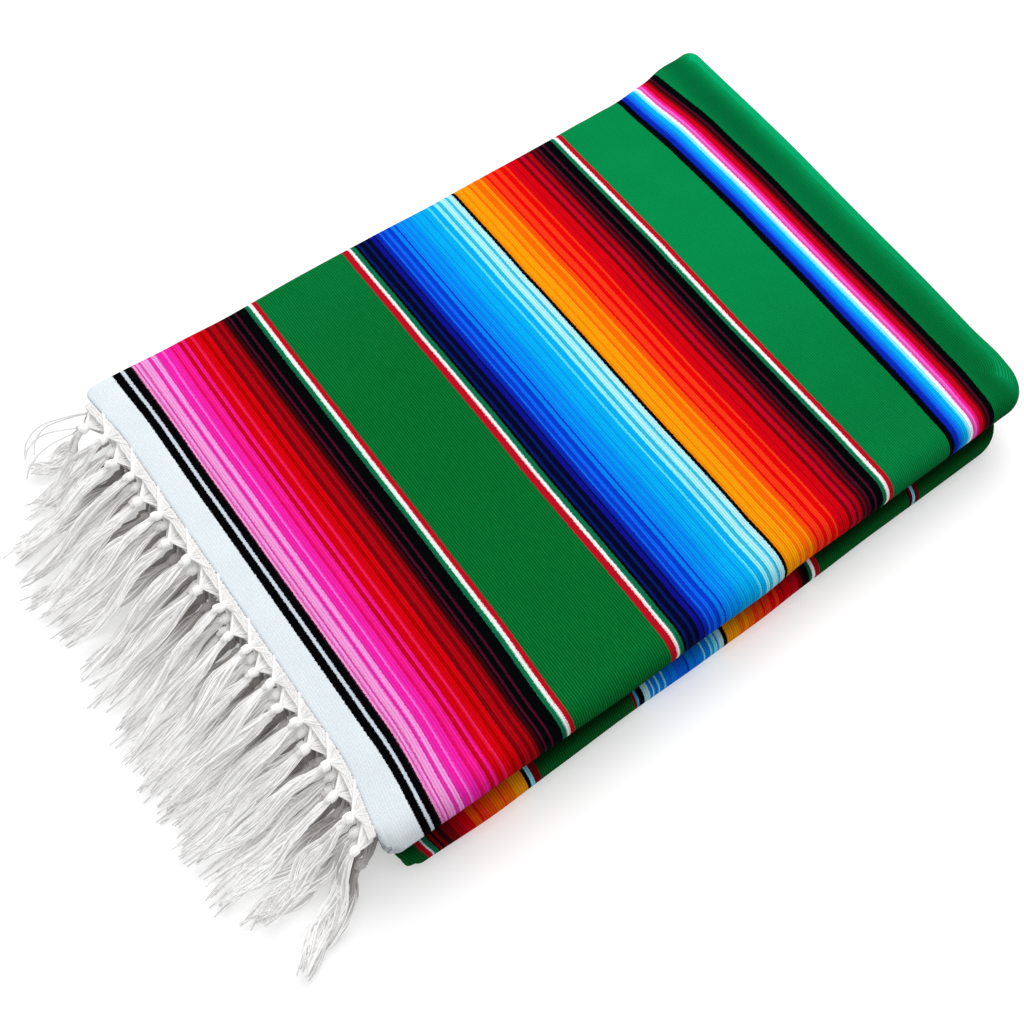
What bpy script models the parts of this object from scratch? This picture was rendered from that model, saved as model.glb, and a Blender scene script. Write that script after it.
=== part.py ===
"""Striped woven blanket, folded into a bundle, with a knotted fringe at one end.

The cloth is folded in half along its length, so that both fringed ends lie
together, then in four across its width, then in half along its length again.
That leaves two packages of eight layers, one on the other, joined by the last
fold. Frame: +Z up, X along the bundle with the fringe at -X
and the last fold at +X, Y across it. The underside rests flat on Z = 0.
Units are metres.
"""

import math
import random
from collections import namedtuple

import bmesh
import bpy

# ---- driving sizes -------------------------------------------------------
FRINGE_EDGE_X = -0.1840     # where the cloth's cut ends lie, before it is centred
FOLD_END_X = 0.3476         # outermost point of the last fold
HALF_WIDTH = 0.1875         # half of a quarter of the cloth's width
LOWER_HEIGHT = 0.0280       # eight layers below
UPPER_HEIGHT = 0.0320       # eight looser layers above
LOWER_PROUD = 0.0065        # the lower package stands out past the upper at the near edge
LAYER_PAIRS = 4             # pairs of layers in a package
GAP_DEPTH = 0.0200          # depth of the gap between the packages
CREASE_SHAPE = 2.2          # roundness of a soft crease, 2 is a circle
FOLD_MIDDLE = 0.0420        # height where the last fold reaches out furthest
FOLD_DEPTH_ABOVE = 0.0140   # how far it rounds away towards the top
FOLD_DEPTH_BELOW = 0.0280   # and towards the underside, which lies further back
FOLD_SHAPE = 2.1
LIP = 0.0006                # height of the levels next to a package's top and bottom
PAIR_GROOVE = 0.0030        # depth of the groove between two pairs of layers

FRINGE_PITCH = 0.0336       # from tassel to tassel
FRINGE_CENTRE_Y = -0.0050
STRIP_GAP = 0.0006          # a fringe strip is parted from the cloth's end by this, 0.3 mm once settled
STRIP_DEPTH = 0.0040
STRIP_HEIGHT = 0.0026
NECK_WIDTH = 0.0140         # warp ends gathered into one knot
LOCKS_PER_TASSEL = 3
FLOOR_GAP = 0.0008          # lowest strand above the floor
FAN_START = 0.0160          # the tassels spread apart beyond this distance
FAR_FAN = 0.20
NEAR_FAN = 0.30
FAR_SHORTER = 0.34
NEAR_SHORTER = 0.34
SEED = 11

TOTAL_HEIGHT = LOWER_HEIGHT + UPPER_HEIGHT

# Height of the bundle's top over the plain stack, added up from soft swells.
Swell = namedtuple("Swell", "x y reach_x reach_y rise")
SWELLS = (
    Swell(x=0.335, y=0.140, reach_x=0.028, reach_y=0.130, rise=0.0048),
    Swell(x=0.325, y=-0.110, reach_x=0.035, reach_y=0.090, rise=0.0022),
    Swell(x=0.264, y=0.170, reach_x=0.018, reach_y=0.080, rise=-0.0025),
    Swell(x=0.150, y=0.200, reach_x=0.110, reach_y=0.080, rise=-0.0030),
    Swell(x=0.215, y=0.010, reach_x=0.045, reach_y=0.110, rise=0.0018),
    Swell(x=0.060, y=-0.030, reach_x=0.090, reach_y=0.100, rise=0.0022),
    Swell(x=-0.060, y=0.050, reach_x=0.060, reach_y=0.070, rise=0.0012),
    Swell(x=-0.200, y=0.000, reach_x=0.035, reach_y=0.400, rise=-0.0035),
    Swell(x=-0.190, y=-0.190, reach_x=0.040, reach_y=0.050, rise=-0.0020),
)

# How the near edges of the two packages and their far edge wander, by place along the bundle.
EdgeDrift = namedtuple("EdgeDrift", "x upper lower far")
EDGE_DRIFT = (
    EdgeDrift(x=-0.184, upper=0.0025, lower=0.0015, far=0.0006),
    EdgeDrift(x=-0.120, upper=0.0008, lower=-0.0012, far=0.0004),
    EdgeDrift(x=-0.040, upper=-0.0012, lower=0.0000, far=-0.0002),
    EdgeDrift(x=0.030, upper=-0.0008, lower=-0.0010, far=-0.0006),
    EdgeDrift(x=0.080, upper=-0.0014, lower=-0.0012, far=-0.0014),
    EdgeDrift(x=0.130, upper=0.0012, lower=0.0000, far=-0.0022),
    EdgeDrift(x=0.200, upper=0.0008, lower=0.0010, far=-0.0016),
    EdgeDrift(x=0.250, upper=0.0010, lower=0.0010, far=-0.0002),
    EdgeDrift(x=0.310, upper=0.0014, lower=0.0012, far=0.0008),
    EdgeDrift(x=0.345, upper=0.0014, lower=0.0012, far=0.0010),
)

# Radius of the bundle's corners, seen from above, at its top and at its underside.
Corner = namedtuple("Corner", "at_fold at_far top bottom")
CORNERS = (
    Corner(at_fold=False, at_far=False, top=0.0060, bottom=0.0060),
    Corner(at_fold=False, at_far=True, top=0.0060, bottom=0.0060),
    Corner(at_fold=True, at_far=False, top=0.0160, bottom=0.0320),
    Corner(at_fold=True, at_far=True, top=0.0080, bottom=0.0240),
)

# How far each pair of layers in the upper package stops short of the fringe edge.
PAIR_STEP = (0.0035, 0.0000, 0.0028, 0.0004)

# Cuts of the cloth's grid, as shares of its length and width.
LENGTH_CUTS = (0.010, 0.024, 0.042, 0.12, 0.20, 0.28, 0.36, 0.44, 0.52, 0.60,
               0.68, 0.75, 0.81, 0.865, 0.91, 0.945, 0.968, 0.986)
WIDTH_CUTS = (0.014, 0.032, 0.055, 0.085, 0.12, 0.16, 0.28, 0.42, 0.56, 0.70, 0.83, 0.93, 0.965, 0.986)


def smooth(value, low, high):
    """Ease from 0 at low to 1 at high."""
    t = min(1.0, max(0.0, (value - low) / (high - low)))
    return t * t * (3.0 - 2.0 * t)


def round_in(t, depth, shape):
    """How far a rounded edge has drawn in, t from 0 at its middle to 1 at its rim."""
    t = min(1.0, abs(t))
    return depth * (1.0 - (1.0 - t ** shape) ** (1.0 / shape))


def drift(x, column):
    """Read the near edge's wander at x, eased between the table's rows."""
    rows = EDGE_DRIFT
    if x <= rows[0].x:
        return getattr(rows[0], column)
    for left, right in zip(rows, rows[1:]):
        if x <= right.x:
            share = smooth(x, left.x, right.x)
            return getattr(left, column) * (1.0 - share) + getattr(right, column) * share
    return getattr(rows[-1], column)


def settle(x, y, z):
    """Move a point of the plain stack to where the soft, uneven bundle has it."""
    rise = 0.0
    for s in SWELLS:
        rise += s.rise * math.exp(-((x - s.x) / s.reach_x) ** 2 - ((y - s.y) / s.reach_y) ** 2)
    upper = smooth(z, 0.6 * LOWER_HEIGHT, 1.3 * LOWER_HEIGHT)
    near = smooth(-y, 0.120, 0.190)
    fringe_side = smooth(-x, 0.090, 0.184)
    new_x = x + 0.0032 * (y / HALF_WIDTH) * smooth(x, 0.10, 0.34)
    new_x -= (0.0035 + 0.0065 * upper) * near * fringe_side
    wander = drift(x, "upper") * upper + drift(x, "lower") * (1.0 - upper)
    new_y = y + wander * smooth(-y, 0.0, 0.150) + drift(x, "far") * smooth(y, 0.0, 0.150)
    return new_x, new_y, z * (1.0 + rise / TOTAL_HEIGHT)


# ---- the cloth -----------------------------------------------------------
Level = namedtuple("Level", "z near far fringe_end fold_end")


def package_levels(bottom, height, proud, steps, crease_above):
    """Levels of one package of layers, from its bottom up, with each side's draw-in.

    On the far side half of the layers end in a crease and half in the cloth's own edges.
    """
    pair = height / LAYER_PAIRS
    heights = [0.0, LIP]
    for k in range(LAYER_PAIRS):
        heights += [(k + 0.2) * pair, (k + 0.8) * pair]
        if k < LAYER_PAIRS - 1:
            heights.append((k + 1.0) * pair)
    heights += [height - LIP, height]
    rows = []
    for h in heights:
        t = 2.0 * h / height - 1.0
        near = round_in(t, 0.5 * height, CREASE_SHAPE) - proud
        k = min(LAYER_PAIRS - 1, int(h / pair))
        from_groove = abs(h / pair - round(h / pair)) < 0.02
        beside = steps[max(0, k - 1)] if from_groove else steps[k]
        end = max(steps[k], beside) + (PAIR_GROOVE if from_groove else 0.0)
        if h == height:
            end = steps[-1] + 0.4 * PAIR_GROOVE
        half = 0.5 * height
        above_half = h - half if crease_above else half - h
        if above_half >= 0.0:
            far = round_in(2.0 * above_half / half - 1.0, 0.5 * half, CREASE_SHAPE)
        else:
            far = 0.0015 + (PAIR_GROOVE if from_groove else 0.0)
        z = bottom + h
        rows.append(Level(z, near, far, end, fold_draw_in(z)))
    return rows


def fold_draw_in(z):
    """How far the last fold, which wraps both packages, lies back at a height."""
    if z > FOLD_MIDDLE:
        t = (z - FOLD_MIDDLE) / (TOTAL_HEIGHT - FOLD_MIDDLE)
        return round_in(t, FOLD_DEPTH_ABOVE, FOLD_SHAPE)
    return round_in((FOLD_MIDDLE - z) / FOLD_MIDDLE, FOLD_DEPTH_BELOW, FOLD_SHAPE)


def cloth_levels():
    """All the levels of the bundle, with the deep gap between its two packages."""
    lower_steps = (0.0010, 0.0022, 0.0005, 0.0016)
    lower = package_levels(0.0, LOWER_HEIGHT, LOWER_PROUD, lower_steps, crease_above=False)
    upper = package_levels(LOWER_HEIGHT, UPPER_HEIGHT, 0.0, PAIR_STEP, crease_above=True)
    gap = Level(LOWER_HEIGHT, GAP_DEPTH, GAP_DEPTH, GAP_DEPTH, fold_draw_in(LOWER_HEIGHT))
    return lower[:-1] + [gap] + upper[1:]


def cut(bm, axis, places):
    """Cut the whole mesh square to an axis at each place."""
    normal = [0.0, 0.0, 0.0]
    normal[axis] = 1.0
    for place in places:
        point = [0.0, 0.0, 0.0]
        point[axis] = place
        everything = bm.verts[:] + bm.edges[:] + bm.faces[:]
        bmesh.ops.bisect_plane(bm, geom=everything, dist=1e-6, plane_co=point, plane_no=normal)


def round_corner(x, y, height, low_x, high_x, low_y, high_y):
    """Draw a point in a square corner onto the corner's round."""
    for corner in CORNERS:
        r = corner.bottom + (corner.top - corner.bottom) * height / TOTAL_HEIGHT
        centre_x = high_x - r if corner.at_fold else low_x + r
        centre_y = high_y - r if corner.at_far else low_y + r
        out_x = (x - centre_x) if corner.at_fold else (centre_x - x)
        out_y = (y - centre_y) if corner.at_far else (centre_y - y)
        if out_x > 0.0 and out_y > 0.0:
            share = max(out_x, out_y) / math.hypot(out_x, out_y)
            x = centre_x + (x - centre_x) * share
            y = centre_y + (y - centre_y) * share
    return x, y


def build_cloth():
    """The folded cloth as one rounded solid, layered at its edges."""
    levels = cloth_levels()
    last = len(levels) - 1
    bm = bmesh.new()
    bmesh.ops.create_cube(bm, size=1.0)
    bmesh.ops.translate(bm, verts=bm.verts[:], vec=(0.5, 0.5, 0.5))
    cut(bm, 0, LENGTH_CUTS)
    cut(bm, 1, WIDTH_CUTS)
    cut(bm, 2, [i / last for i in range(1, last)])
    for v in bm.verts:
        level = levels[round(v.co.z * last)]
        inner = smooth(v.co.x, 0.90, 1.0)
        near = level.near * (1.0 - inner) + min(level.near, 0.5 * UPPER_HEIGHT) * inner
        far = level.far * (1.0 - inner) + min(level.far, 0.4 * UPPER_HEIGHT) * inner
        low_x = FRINGE_EDGE_X + level.fringe_end
        high_x = FOLD_END_X - level.fold_end
        low_y = -HALF_WIDTH + near
        high_y = HALF_WIDTH - far
        x = low_x + (high_x - low_x) * v.co.x
        y = low_y + (high_y - low_y) * v.co.y
        x, y = round_corner(x, y, level.z, low_x, high_x, low_y, high_y)
        v.co = settle(x, y, level.z)
    return bm


# ---- the fringe ----------------------------------------------------------
FringeRow = namedtuple("FringeRow", "z phase first count")


def fringe_rows():
    """One row of tassels for each layer that ends at the fringe edge, from the lowest up."""
    layer = UPPER_HEIGHT / (2 * LAYER_PAIRS)
    rows = []
    for i in range(2 * LAYER_PAIRS):
        shifted = i % 2 == 0
        extra = 1 if shifted and i >= LAYER_PAIRS else 0
        rows.append(FringeRow(LOWER_HEIGHT + (i + 0.5) * layer, -0.5 if shifted else 0.0, -extra, 10 + extra))
    return rows


# A strand's course: how far out from the cloth's edge, and how much of its
# height above its resting place is still left there.
Course = namedtuple("Course", "out height_left spread width thickness loose")
COURSE = (
    Course(out=0.040, height_left=0.74, spread=0.0042, width=0.0032, thickness=0.0042, loose=0.0),
    Course(out=0.070, height_left=0.24, spread=0.0049, width=0.0030, thickness=0.0029, loose=0.0006),
    Course(out=0.104, height_left=0.00, spread=0.0053, width=0.0015, thickness=0.0015, loose=0.0009),
)

# A knot's rings, outwards from the strip.
KnotRing = namedtuple("KnotRing", "out width thickness")
KNOT = (
    KnotRing(out=-0.0036, width=0.0044, thickness=0.0030),
    KnotRing(out=0.0000, width=0.0076, thickness=0.0062),
    KnotRing(out=0.0036, width=0.0057, thickness=0.0042),
)


def reach(rows_out):
    """Height left at a distance out, straight between the course's places."""
    places = [(0.0125, 1.0)] + [(c.out, c.height_left) for c in COURSE]
    for (a, ha), (b, hb) in zip(places, places[1:]):
        if rows_out <= b:
            return ha + (hb - ha) * (rows_out - a) / (b - a)
    return places[-1][1]


def place_ring(face, x, y, z, width, thickness):
    """Set a face's four corners on an upright rectangle."""
    middle = face.calc_center_median()
    for v in face.verts:
        side = 1.0 if v.co.y > middle.y else -1.0
        up = 1.0 if v.co.z > middle.z else -1.0
        v.co = (x, y + side * 0.5 * width, z + up * 0.5 * thickness)


def grow(bm, face):
    """Extrude one face and give back its new end."""
    return bmesh.ops.extrude_discrete_faces(bm, faces=[face])["faces"][0]


def outer_faces(bm, x, y, half):
    """Faces looking out along -X at x, with their middles within half of y."""
    found = []
    for f in bm.faces:
        c = f.calc_center_median()
        if abs(c.x - x) < 1e-6 and abs(c.y - y) < half and abs(f.normal.x) > 0.9:
            found.append(f)
    return sorted(found, key=lambda f: f.calc_center_median().y)


def build_fringe_row(row, index, chance):
    """A narrow strip along one layer's cut end, with its knots and strands."""
    pair = PAIR_STEP[index // 2]
    edge = FRINGE_EDGE_X + pair
    t = 2.0 * (row.z - LOWER_HEIGHT) / UPPER_HEIGHT - 1.0
    drawn_in = round_in(abs(t) + 0.06, 0.5 * UPPER_HEIGHT, CREASE_SHAPE)
    near = -HALF_WIDTH + drawn_in + 0.0020
    far = HALF_WIDTH - 0.0080
    back = edge - STRIP_GAP
    front = back - STRIP_DEPTH
    centres = []
    for k in range(row.first, 10):
        centres.append(FRINGE_CENTRE_Y + (4.5 - k + row.phase) * FRINGE_PITCH)
    bm = bmesh.new()
    bmesh.ops.create_cube(bm, size=1.0)
    for v in bm.verts:
        v.co.x = back if v.co.x > 0.0 else front
        v.co.y = far if v.co.y > 0.0 else near
        v.co.z = row.z + (0.5 if v.co.z > 0.0 else -0.5) * STRIP_HEIGHT
    for y in centres:
        cut(bm, 1, [y - 0.5 * NECK_WIDTH, y + 0.5 * NECK_WIDTH])
    rest = FLOOR_GAP + 0.0008 + 0.0029 * (index // 2)
    knot_out = 0.0145 if index % 2 == 0 else 0.0095
    for y in centres:
        bm.normal_update()
        end = outer_faces(bm, front, y, 0.25 * NECK_WIDTH)[0]
        for ring in KNOT:
            end = grow(bm, end)
            place_ring(end, FRINGE_EDGE_X - knot_out - ring.out, y, row.z, ring.width, ring.thickness)
        knot_end = FRINGE_EDGE_X - knot_out - KNOT[-1].out
        third = KNOT[-1].width / LOCKS_PER_TASSEL
        for side in (-0.5, 0.5):
            near_geometry = outer_faces(bm, knot_end, y, 0.004)
            parts = {e for f in near_geometry for e in f.edges}
            points = {v for f in near_geometry for v in f.verts}
            bmesh.ops.bisect_plane(
                bm, geom=near_geometry + list(parts) + list(points), dist=1e-7,
                plane_co=(knot_end, y + side * third, row.z), plane_no=(0.0, 1.0, 0.0))
            bm.normal_update()
        ends = outer_faces(bm, knot_end, y, 0.004)
        for place, face in enumerate(ends):
            lean = place - 1
            length = chance.uniform(0.88, 1.0)
            for c in COURSE:
                out = c.out if c is not COURSE[-1] else COURSE[-2].out + (c.out - COURSE[-2].out) * length
                stray = chance.uniform(-c.loose, c.loose)
                z = rest + (row.z - rest) * reach(out)
                face = grow(bm, face)
                place_ring(face, FRINGE_EDGE_X - out, y + lean * c.spread + stray, z, c.width, c.thickness)
    for v in bm.verts:
        out = FRINGE_EDGE_X - v.co.x
        x, y, z = settle(v.co.x, v.co.y, v.co.z)
        if out > FAN_START:
            to_far = smooth(v.co.y, 0.080, 0.178)
            to_near = smooth(-v.co.y, 0.140, 0.180)
            y += (FAR_FAN * to_far - NEAR_FAN * to_near) * (out - FAN_START)
            x += (FAR_SHORTER * to_far + NEAR_SHORTER * to_near) * (out - FAN_START)
        v.co = (x, y, z)
    return bm


# ---- making the objects --------------------------------------------------
def make_object(name, bm, colour, roughness):
    """Close the mesh's book: triangles, outward faces, soft shading and a material."""
    bmesh.ops.triangulate(bm, faces=bm.faces[:])
    bmesh.ops.recalc_face_normals(bm, faces=bm.faces[:])
    for f in bm.faces:
        f.smooth = True
    mesh = bpy.data.meshes.new(name)
    bm.to_mesh(mesh)
    bm.free()
    material = bpy.data.materials.new(name)
    material.use_nodes = True
    shader = material.node_tree.nodes["Principled BSDF"]
    shader.inputs["Base Color"].default_value = colour
    shader.inputs["Roughness"].default_value = roughness
    mesh.materials.append(material)
    obj = bpy.data.objects.new(name, mesh)
    bpy.context.scene.collection.objects.link(obj)
    return obj


for old in list(bpy.data.objects):
    bpy.data.objects.remove(old, do_unlink=True)

built = [make_object("folded_cloth", build_cloth(), (0.02, 0.23, 0.09, 1.0), 0.9)]
chance = random.Random(SEED)
for number, row in enumerate(fringe_rows()):
    name = "fringe_row_" + str(len(fringe_rows()) - number)
    built.append(make_object(name, build_fringe_row(row, number, chance), (0.78, 0.76, 0.72, 1.0), 0.85))

# The frame's origin is the middle of the whole part's underside.
points = [v.co for obj in built for v in obj.data.vertices]
middle_x = 0.5 * (min(p.x for p in points) + max(p.x for p in points))
middle_y = 0.5 * (min(p.y for p in points) + max(p.y for p in points))
for obj in built:
    for v in obj.data.vertices:
        v.co.x -= middle_x
        v.co.y -= middle_y
    obj.data.update()
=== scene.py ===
# %% [markdown]
# # A folded striped blanket with a knotted fringe
# This lesson dresses the plain solids of a folded blanket: a finer cloth shell
# with its stripes and ribs, and eight rows of knotted tassels made from yarns.
# The solids come in first, because every piece takes its place from them.

import math
import random
from collections import namedtuple

import bmesh
import bpy
from mathutils import Matrix, Vector, noise


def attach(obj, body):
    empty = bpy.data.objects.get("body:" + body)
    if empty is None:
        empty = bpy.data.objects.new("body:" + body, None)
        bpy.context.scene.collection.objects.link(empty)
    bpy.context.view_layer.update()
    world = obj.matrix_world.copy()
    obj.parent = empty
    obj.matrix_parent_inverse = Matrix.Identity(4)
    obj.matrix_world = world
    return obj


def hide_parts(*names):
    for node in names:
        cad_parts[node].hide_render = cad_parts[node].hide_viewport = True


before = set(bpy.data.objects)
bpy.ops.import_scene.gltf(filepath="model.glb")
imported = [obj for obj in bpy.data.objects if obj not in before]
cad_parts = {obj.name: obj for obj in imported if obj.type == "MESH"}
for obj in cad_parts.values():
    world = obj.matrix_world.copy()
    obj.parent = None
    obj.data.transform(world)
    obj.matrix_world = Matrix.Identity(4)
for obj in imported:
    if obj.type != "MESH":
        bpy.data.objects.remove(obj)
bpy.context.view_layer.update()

# %% [markdown]
# ## The camera
# The blanket lies on the floor and is seen from above, past one corner. The
# camera turns round a target in the bundle by azimuth, elevation and a little
# roll, which says more about the view than a bare matrix would.

# %% Camera
CAMERA_TARGET = Vector((-0.0309, -0.0344, 0.0300))
CAMERA_DISTANCE = 0.8357
CAMERA_AZIMUTH = math.radians(-40.03)
CAMERA_ELEVATION = math.radians(64.54)
CAMERA_ROLL = math.radians(4.03)
SENSOR_WIDTH = 36.0
LENS = 43.95


def turned_camera(azimuth, elevation, roll):
    """The axes of a camera that looks back at its target, as a rotation."""
    level = math.cos(elevation)
    back = Vector((math.sin(azimuth) * level, -math.cos(azimuth) * level, math.sin(elevation)))
    across = Vector((0.0, 0.0, 1.0)).cross(back).normalized()
    upward = back.cross(across)
    right = across * math.cos(roll) + upward * math.sin(roll)
    return Matrix((right, back.cross(right), back)).transposed()


camera = bpy.data.objects.new("camera", bpy.data.cameras.new("camera"))
bpy.context.scene.collection.objects.link(camera)
axes = turned_camera(CAMERA_AZIMUTH, CAMERA_ELEVATION, CAMERA_ROLL)
camera.matrix_world = Matrix.Translation(CAMERA_TARGET + axes.col[2] * CAMERA_DISTANCE) @ axes.to_4x4()
camera.data.sensor_width = SENSOR_WIDTH
camera.data.lens = LENS
camera.data.clip_start = 0.05
bpy.context.scene.camera = camera
print("camera at", [round(v, 3) for v in camera.location])

# %% [markdown]
# ## Light and floor
# Soft studio light: a wide panel hangs over the blanket, so its sides are
# darker than its top, a white world fills the shadows, and one broad lamp high
# behind the far side gives the near edge a soft shadow. The Standard view
# keeps the dyed colours as they are.

# %% Light and floor
FILL_STRENGTH = 0.32
SoftLight = namedtuple("SoftLight", "name place side power")
SOFT_LIGHTS = (
    SoftLight(name="panel", place=Vector((0.0, 0.0, 2.0)), side=3.2, power=30.0),
    SoftLight(name="lamp", place=Vector((0.80, 0.75, 1.50)), side=1.2, power=17.5),
)
FLOOR_GLOW = 0.355
FLOOR_SIDE = 14.0

bpy.context.scene.view_settings.view_transform = "Standard"
world = bpy.data.worlds.new("studio")
bpy.context.scene.world = world
world.use_nodes = True
world.node_tree.nodes["Background"].inputs["Color"].default_value = (1.0, 1.0, 1.0, 1.0)
world.node_tree.nodes["Background"].inputs["Strength"].default_value = FILL_STRENGTH

for soft in SOFT_LIGHTS:
    lamp = bpy.data.objects.new(soft.name, bpy.data.lights.new(soft.name, "AREA"))
    bpy.context.scene.collection.objects.link(lamp)
    lamp.data.shape = "SQUARE"
    lamp.data.size = soft.side
    lamp.data.energy = soft.power
    lamp.location = soft.place
    lamp.rotation_euler = (-soft.place).to_track_quat("-Z", "Y").to_euler()


def object_from(bm, name):
    """Put a finished bmesh into the scene as an object at the origin."""
    mesh = bpy.data.meshes.new(name)
    bm.to_mesh(mesh)
    bm.free()
    made = bpy.data.objects.new(name, mesh)
    bpy.context.scene.collection.objects.link(made)
    return made


floor_bm = bmesh.new()
bmesh.ops.create_grid(floor_bm, x_segments=1, y_segments=1, size=FLOOR_SIDE / 2)
floor = object_from(floor_bm, "floor")
print("floor", FLOOR_SIDE, "m, lights", [soft.name for soft in SOFT_LIGHTS])

# %% [markdown]
# ## Shader sums
# A finish is easier to read as sums than as a list of nodes. One small class
# wraps a socket and takes part in Python's + - * /, and one method makes any
# other node from its type, its settings and its sockets. An ease is a soft
# step from one value to another, which most of the finishes below are made of.

# %% Shader helper
Ease = namedtuple("Ease", "low high first last", defaults=(0.0, 1.0))


class Wire:
    """An output socket that can be added and multiplied like a number."""

    def __init__(self, recipe, socket):
        self.recipe = recipe
        self.socket = socket

    def maths(self, operation, *values):
        return self.recipe.node("ShaderNodeMath", {"operation": operation}, dict(enumerate(values)))

    def __add__(self, other):
        return self.maths("ADD", self, other)

    def __radd__(self, other):
        return self.maths("ADD", other, self)

    def __sub__(self, other):
        return self.maths("SUBTRACT", self, other)

    def __rsub__(self, other):
        return self.maths("SUBTRACT", other, self)

    def __mul__(self, other):
        return self.maths("MULTIPLY", self, other)

    def __rmul__(self, other):
        return self.maths("MULTIPLY", other, self)

    def __truediv__(self, other):
        return self.maths("DIVIDE", self, other)

    def fraction(self):
        return self.maths("FRACT", self)

    def above(self, limit):
        return self.maths("GREATER_THAN", self, limit)

    def power(self, exponent):
        return self.maths("POWER", self, exponent)

    def size(self):
        return self.maths("ABSOLUTE", self)

    def also(self, name):
        """Another output of the same node."""
        return Wire(self.recipe, self.socket.node.outputs[name])

    def eased(self, ease):
        """Go softly from the ease's first value at low to its last value at high."""
        sockets = {"Value": self, 1: ease.low, 2: ease.high, 3: ease.first, 4: ease.last}
        return self.recipe.node("ShaderNodeMapRange", {"interpolation_type": "SMOOTHSTEP"}, sockets)


class Recipe:
    """One material, built up from nodes."""

    def __init__(self, name):
        self.material = bpy.data.materials.new(name)
        self.material.use_nodes = True
        self.tree = self.material.node_tree
        self.tree.nodes.clear()

    def node(self, kind, settings=None, sockets=None, output=0):
        made = self.tree.nodes.new(kind)
        for key, value in (settings or {}).items():
            if key == "stops":
                self.fill_ramp(made.color_ramp, value)
            else:
                setattr(made, key, value)
        for key, value in (sockets or {}).items():
            if isinstance(value, Wire):
                self.tree.links.new(value.socket, made.inputs[key])
            else:
                made.inputs[key].default_value = value
        return Wire(self, made.outputs[output]) if made.outputs else made

    def fill_ramp(self, ramp, stops):
        ramp.interpolation = "CONSTANT"
        while len(ramp.elements) > 1:
            ramp.elements.remove(ramp.elements[-1])
        for number, (place, colour) in enumerate(stops):
            element = ramp.elements[0] if number == 0 else ramp.elements.new(place)
            element.position = place
            element.color = colour

    def blend(self, factor, first, second):
        """Mix two colours."""
        return self.node("ShaderNodeMix", {"data_type": "RGBA"}, {0: factor, 6: first, 7: second}, 2)

    def shade(self, colour, amount):
        """Multiply a colour by a value."""
        return self.node("ShaderNodeVectorMath", {"operation": "SCALE"}, {0: colour, "Scale": amount})

    def clouds(self, place, scale, detail):
        """Soft noise over a place."""
        return self.node("ShaderNodeTexNoise", None, {"Vector": place, "Scale": scale, "Detail": detail})

    def finish(self, **sockets):
        """Close the recipe with its surface. Numbers are set on the shader itself."""
        named = {key.replace("_", " "): value for key, value in sockets.items()}
        shader = self.node("ShaderNodeBsdfPrincipled", None, named)
        self.node("ShaderNodeOutputMaterial", None, {"Surface": shader})
        return self.material


def dye(code, depth=1.0):
    """An sRGB hex colour as the linear values that shaders use, times a depth."""
    parts = [int(code[i:i + 2], 16) / 255.0 for i in (0, 2, 4)]
    return tuple(depth * (p / 12.92 if p <= 0.04045 else ((p + 0.055) / 1.055) ** 2.4) for p in parts)


paper = Recipe("pale_floor")
grain = paper.node("ShaderNodeTexNoise", None, {"Scale": 60.0})
paper_colour = paper.blend(grain, (0.73, 0.73, 0.73, 1.0), (0.75, 0.75, 0.75, 1.0))
floor.data.materials.append(paper.finish(Base_Color=paper_colour, Roughness=1.0, Specular_IOR_Level=0.0,
                                         Emission_Color=(1.0, 1.0, 1.0, 1.0), Emission_Strength=FLOOR_GLOW))
print("floor finish:", floor.data.materials[0].name)

# %% [markdown]
# ## How the bundle lies
# The blanket is folded in half with its fringed ends together, then in four
# across, then in half again. Two packages of eight layers lie on each other.
# A plain stack is easy to reason about, so every piece is first placed there,
# and one function moves its points to where the soft bundle has them.

# %% Sizes of the stack
MIDDLE = Vector((0.03092, -0.00799, 0.0))   # the stack's own middle, which the frame puts at its origin
FRINGE_EDGE_X = -0.1840
FOLD_END_X = 0.3476
HALF_WIDTH = 0.1875
LOWER_HEIGHT = 0.0280
UPPER_HEIGHT = 0.0320
TOTAL_HEIGHT = LOWER_HEIGHT + UPPER_HEIGHT
LOWER_PROUD = 0.0065
LAYERS = 8
CREASE_SHAPE = 2.2
FOLD_SHAPE = 2.1
FOLD_MIDDLE = 0.0420
FOLD_DEPTH_ABOVE = 0.0140
FOLD_DEPTH_BELOW = 0.0280
PAIR_STEP = (0.0035, 0.0000, 0.0028, 0.0004)
FAN_START = 0.0160
FAR_FAN = 0.20
NEAR_FAN = 0.30
FAR_SHORTER = 0.58
NEAR_SHORTER = 0.28

# How far the ends of the bundle have moved along it as the cloth settled.
FOLD_SKEW = 0.0032
NEAR_END_IN = 0.0035
NEAR_TOP_IN = 0.0065
FAR_TOP_IN = 0.0045
FOLD_SIDES_IN = 0.0024
FOLD_BULGE = 0.0014
FOLD_BULGE_Y = -0.150
FOLD_BULGE_REACH = 0.014
LOWER_CORNER_BACK = 0.0150

print("stack", round(FOLD_END_X - FRINGE_EDGE_X, 4), "by", 2 * HALF_WIDTH, "by", TOTAL_HEIGHT)
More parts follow.
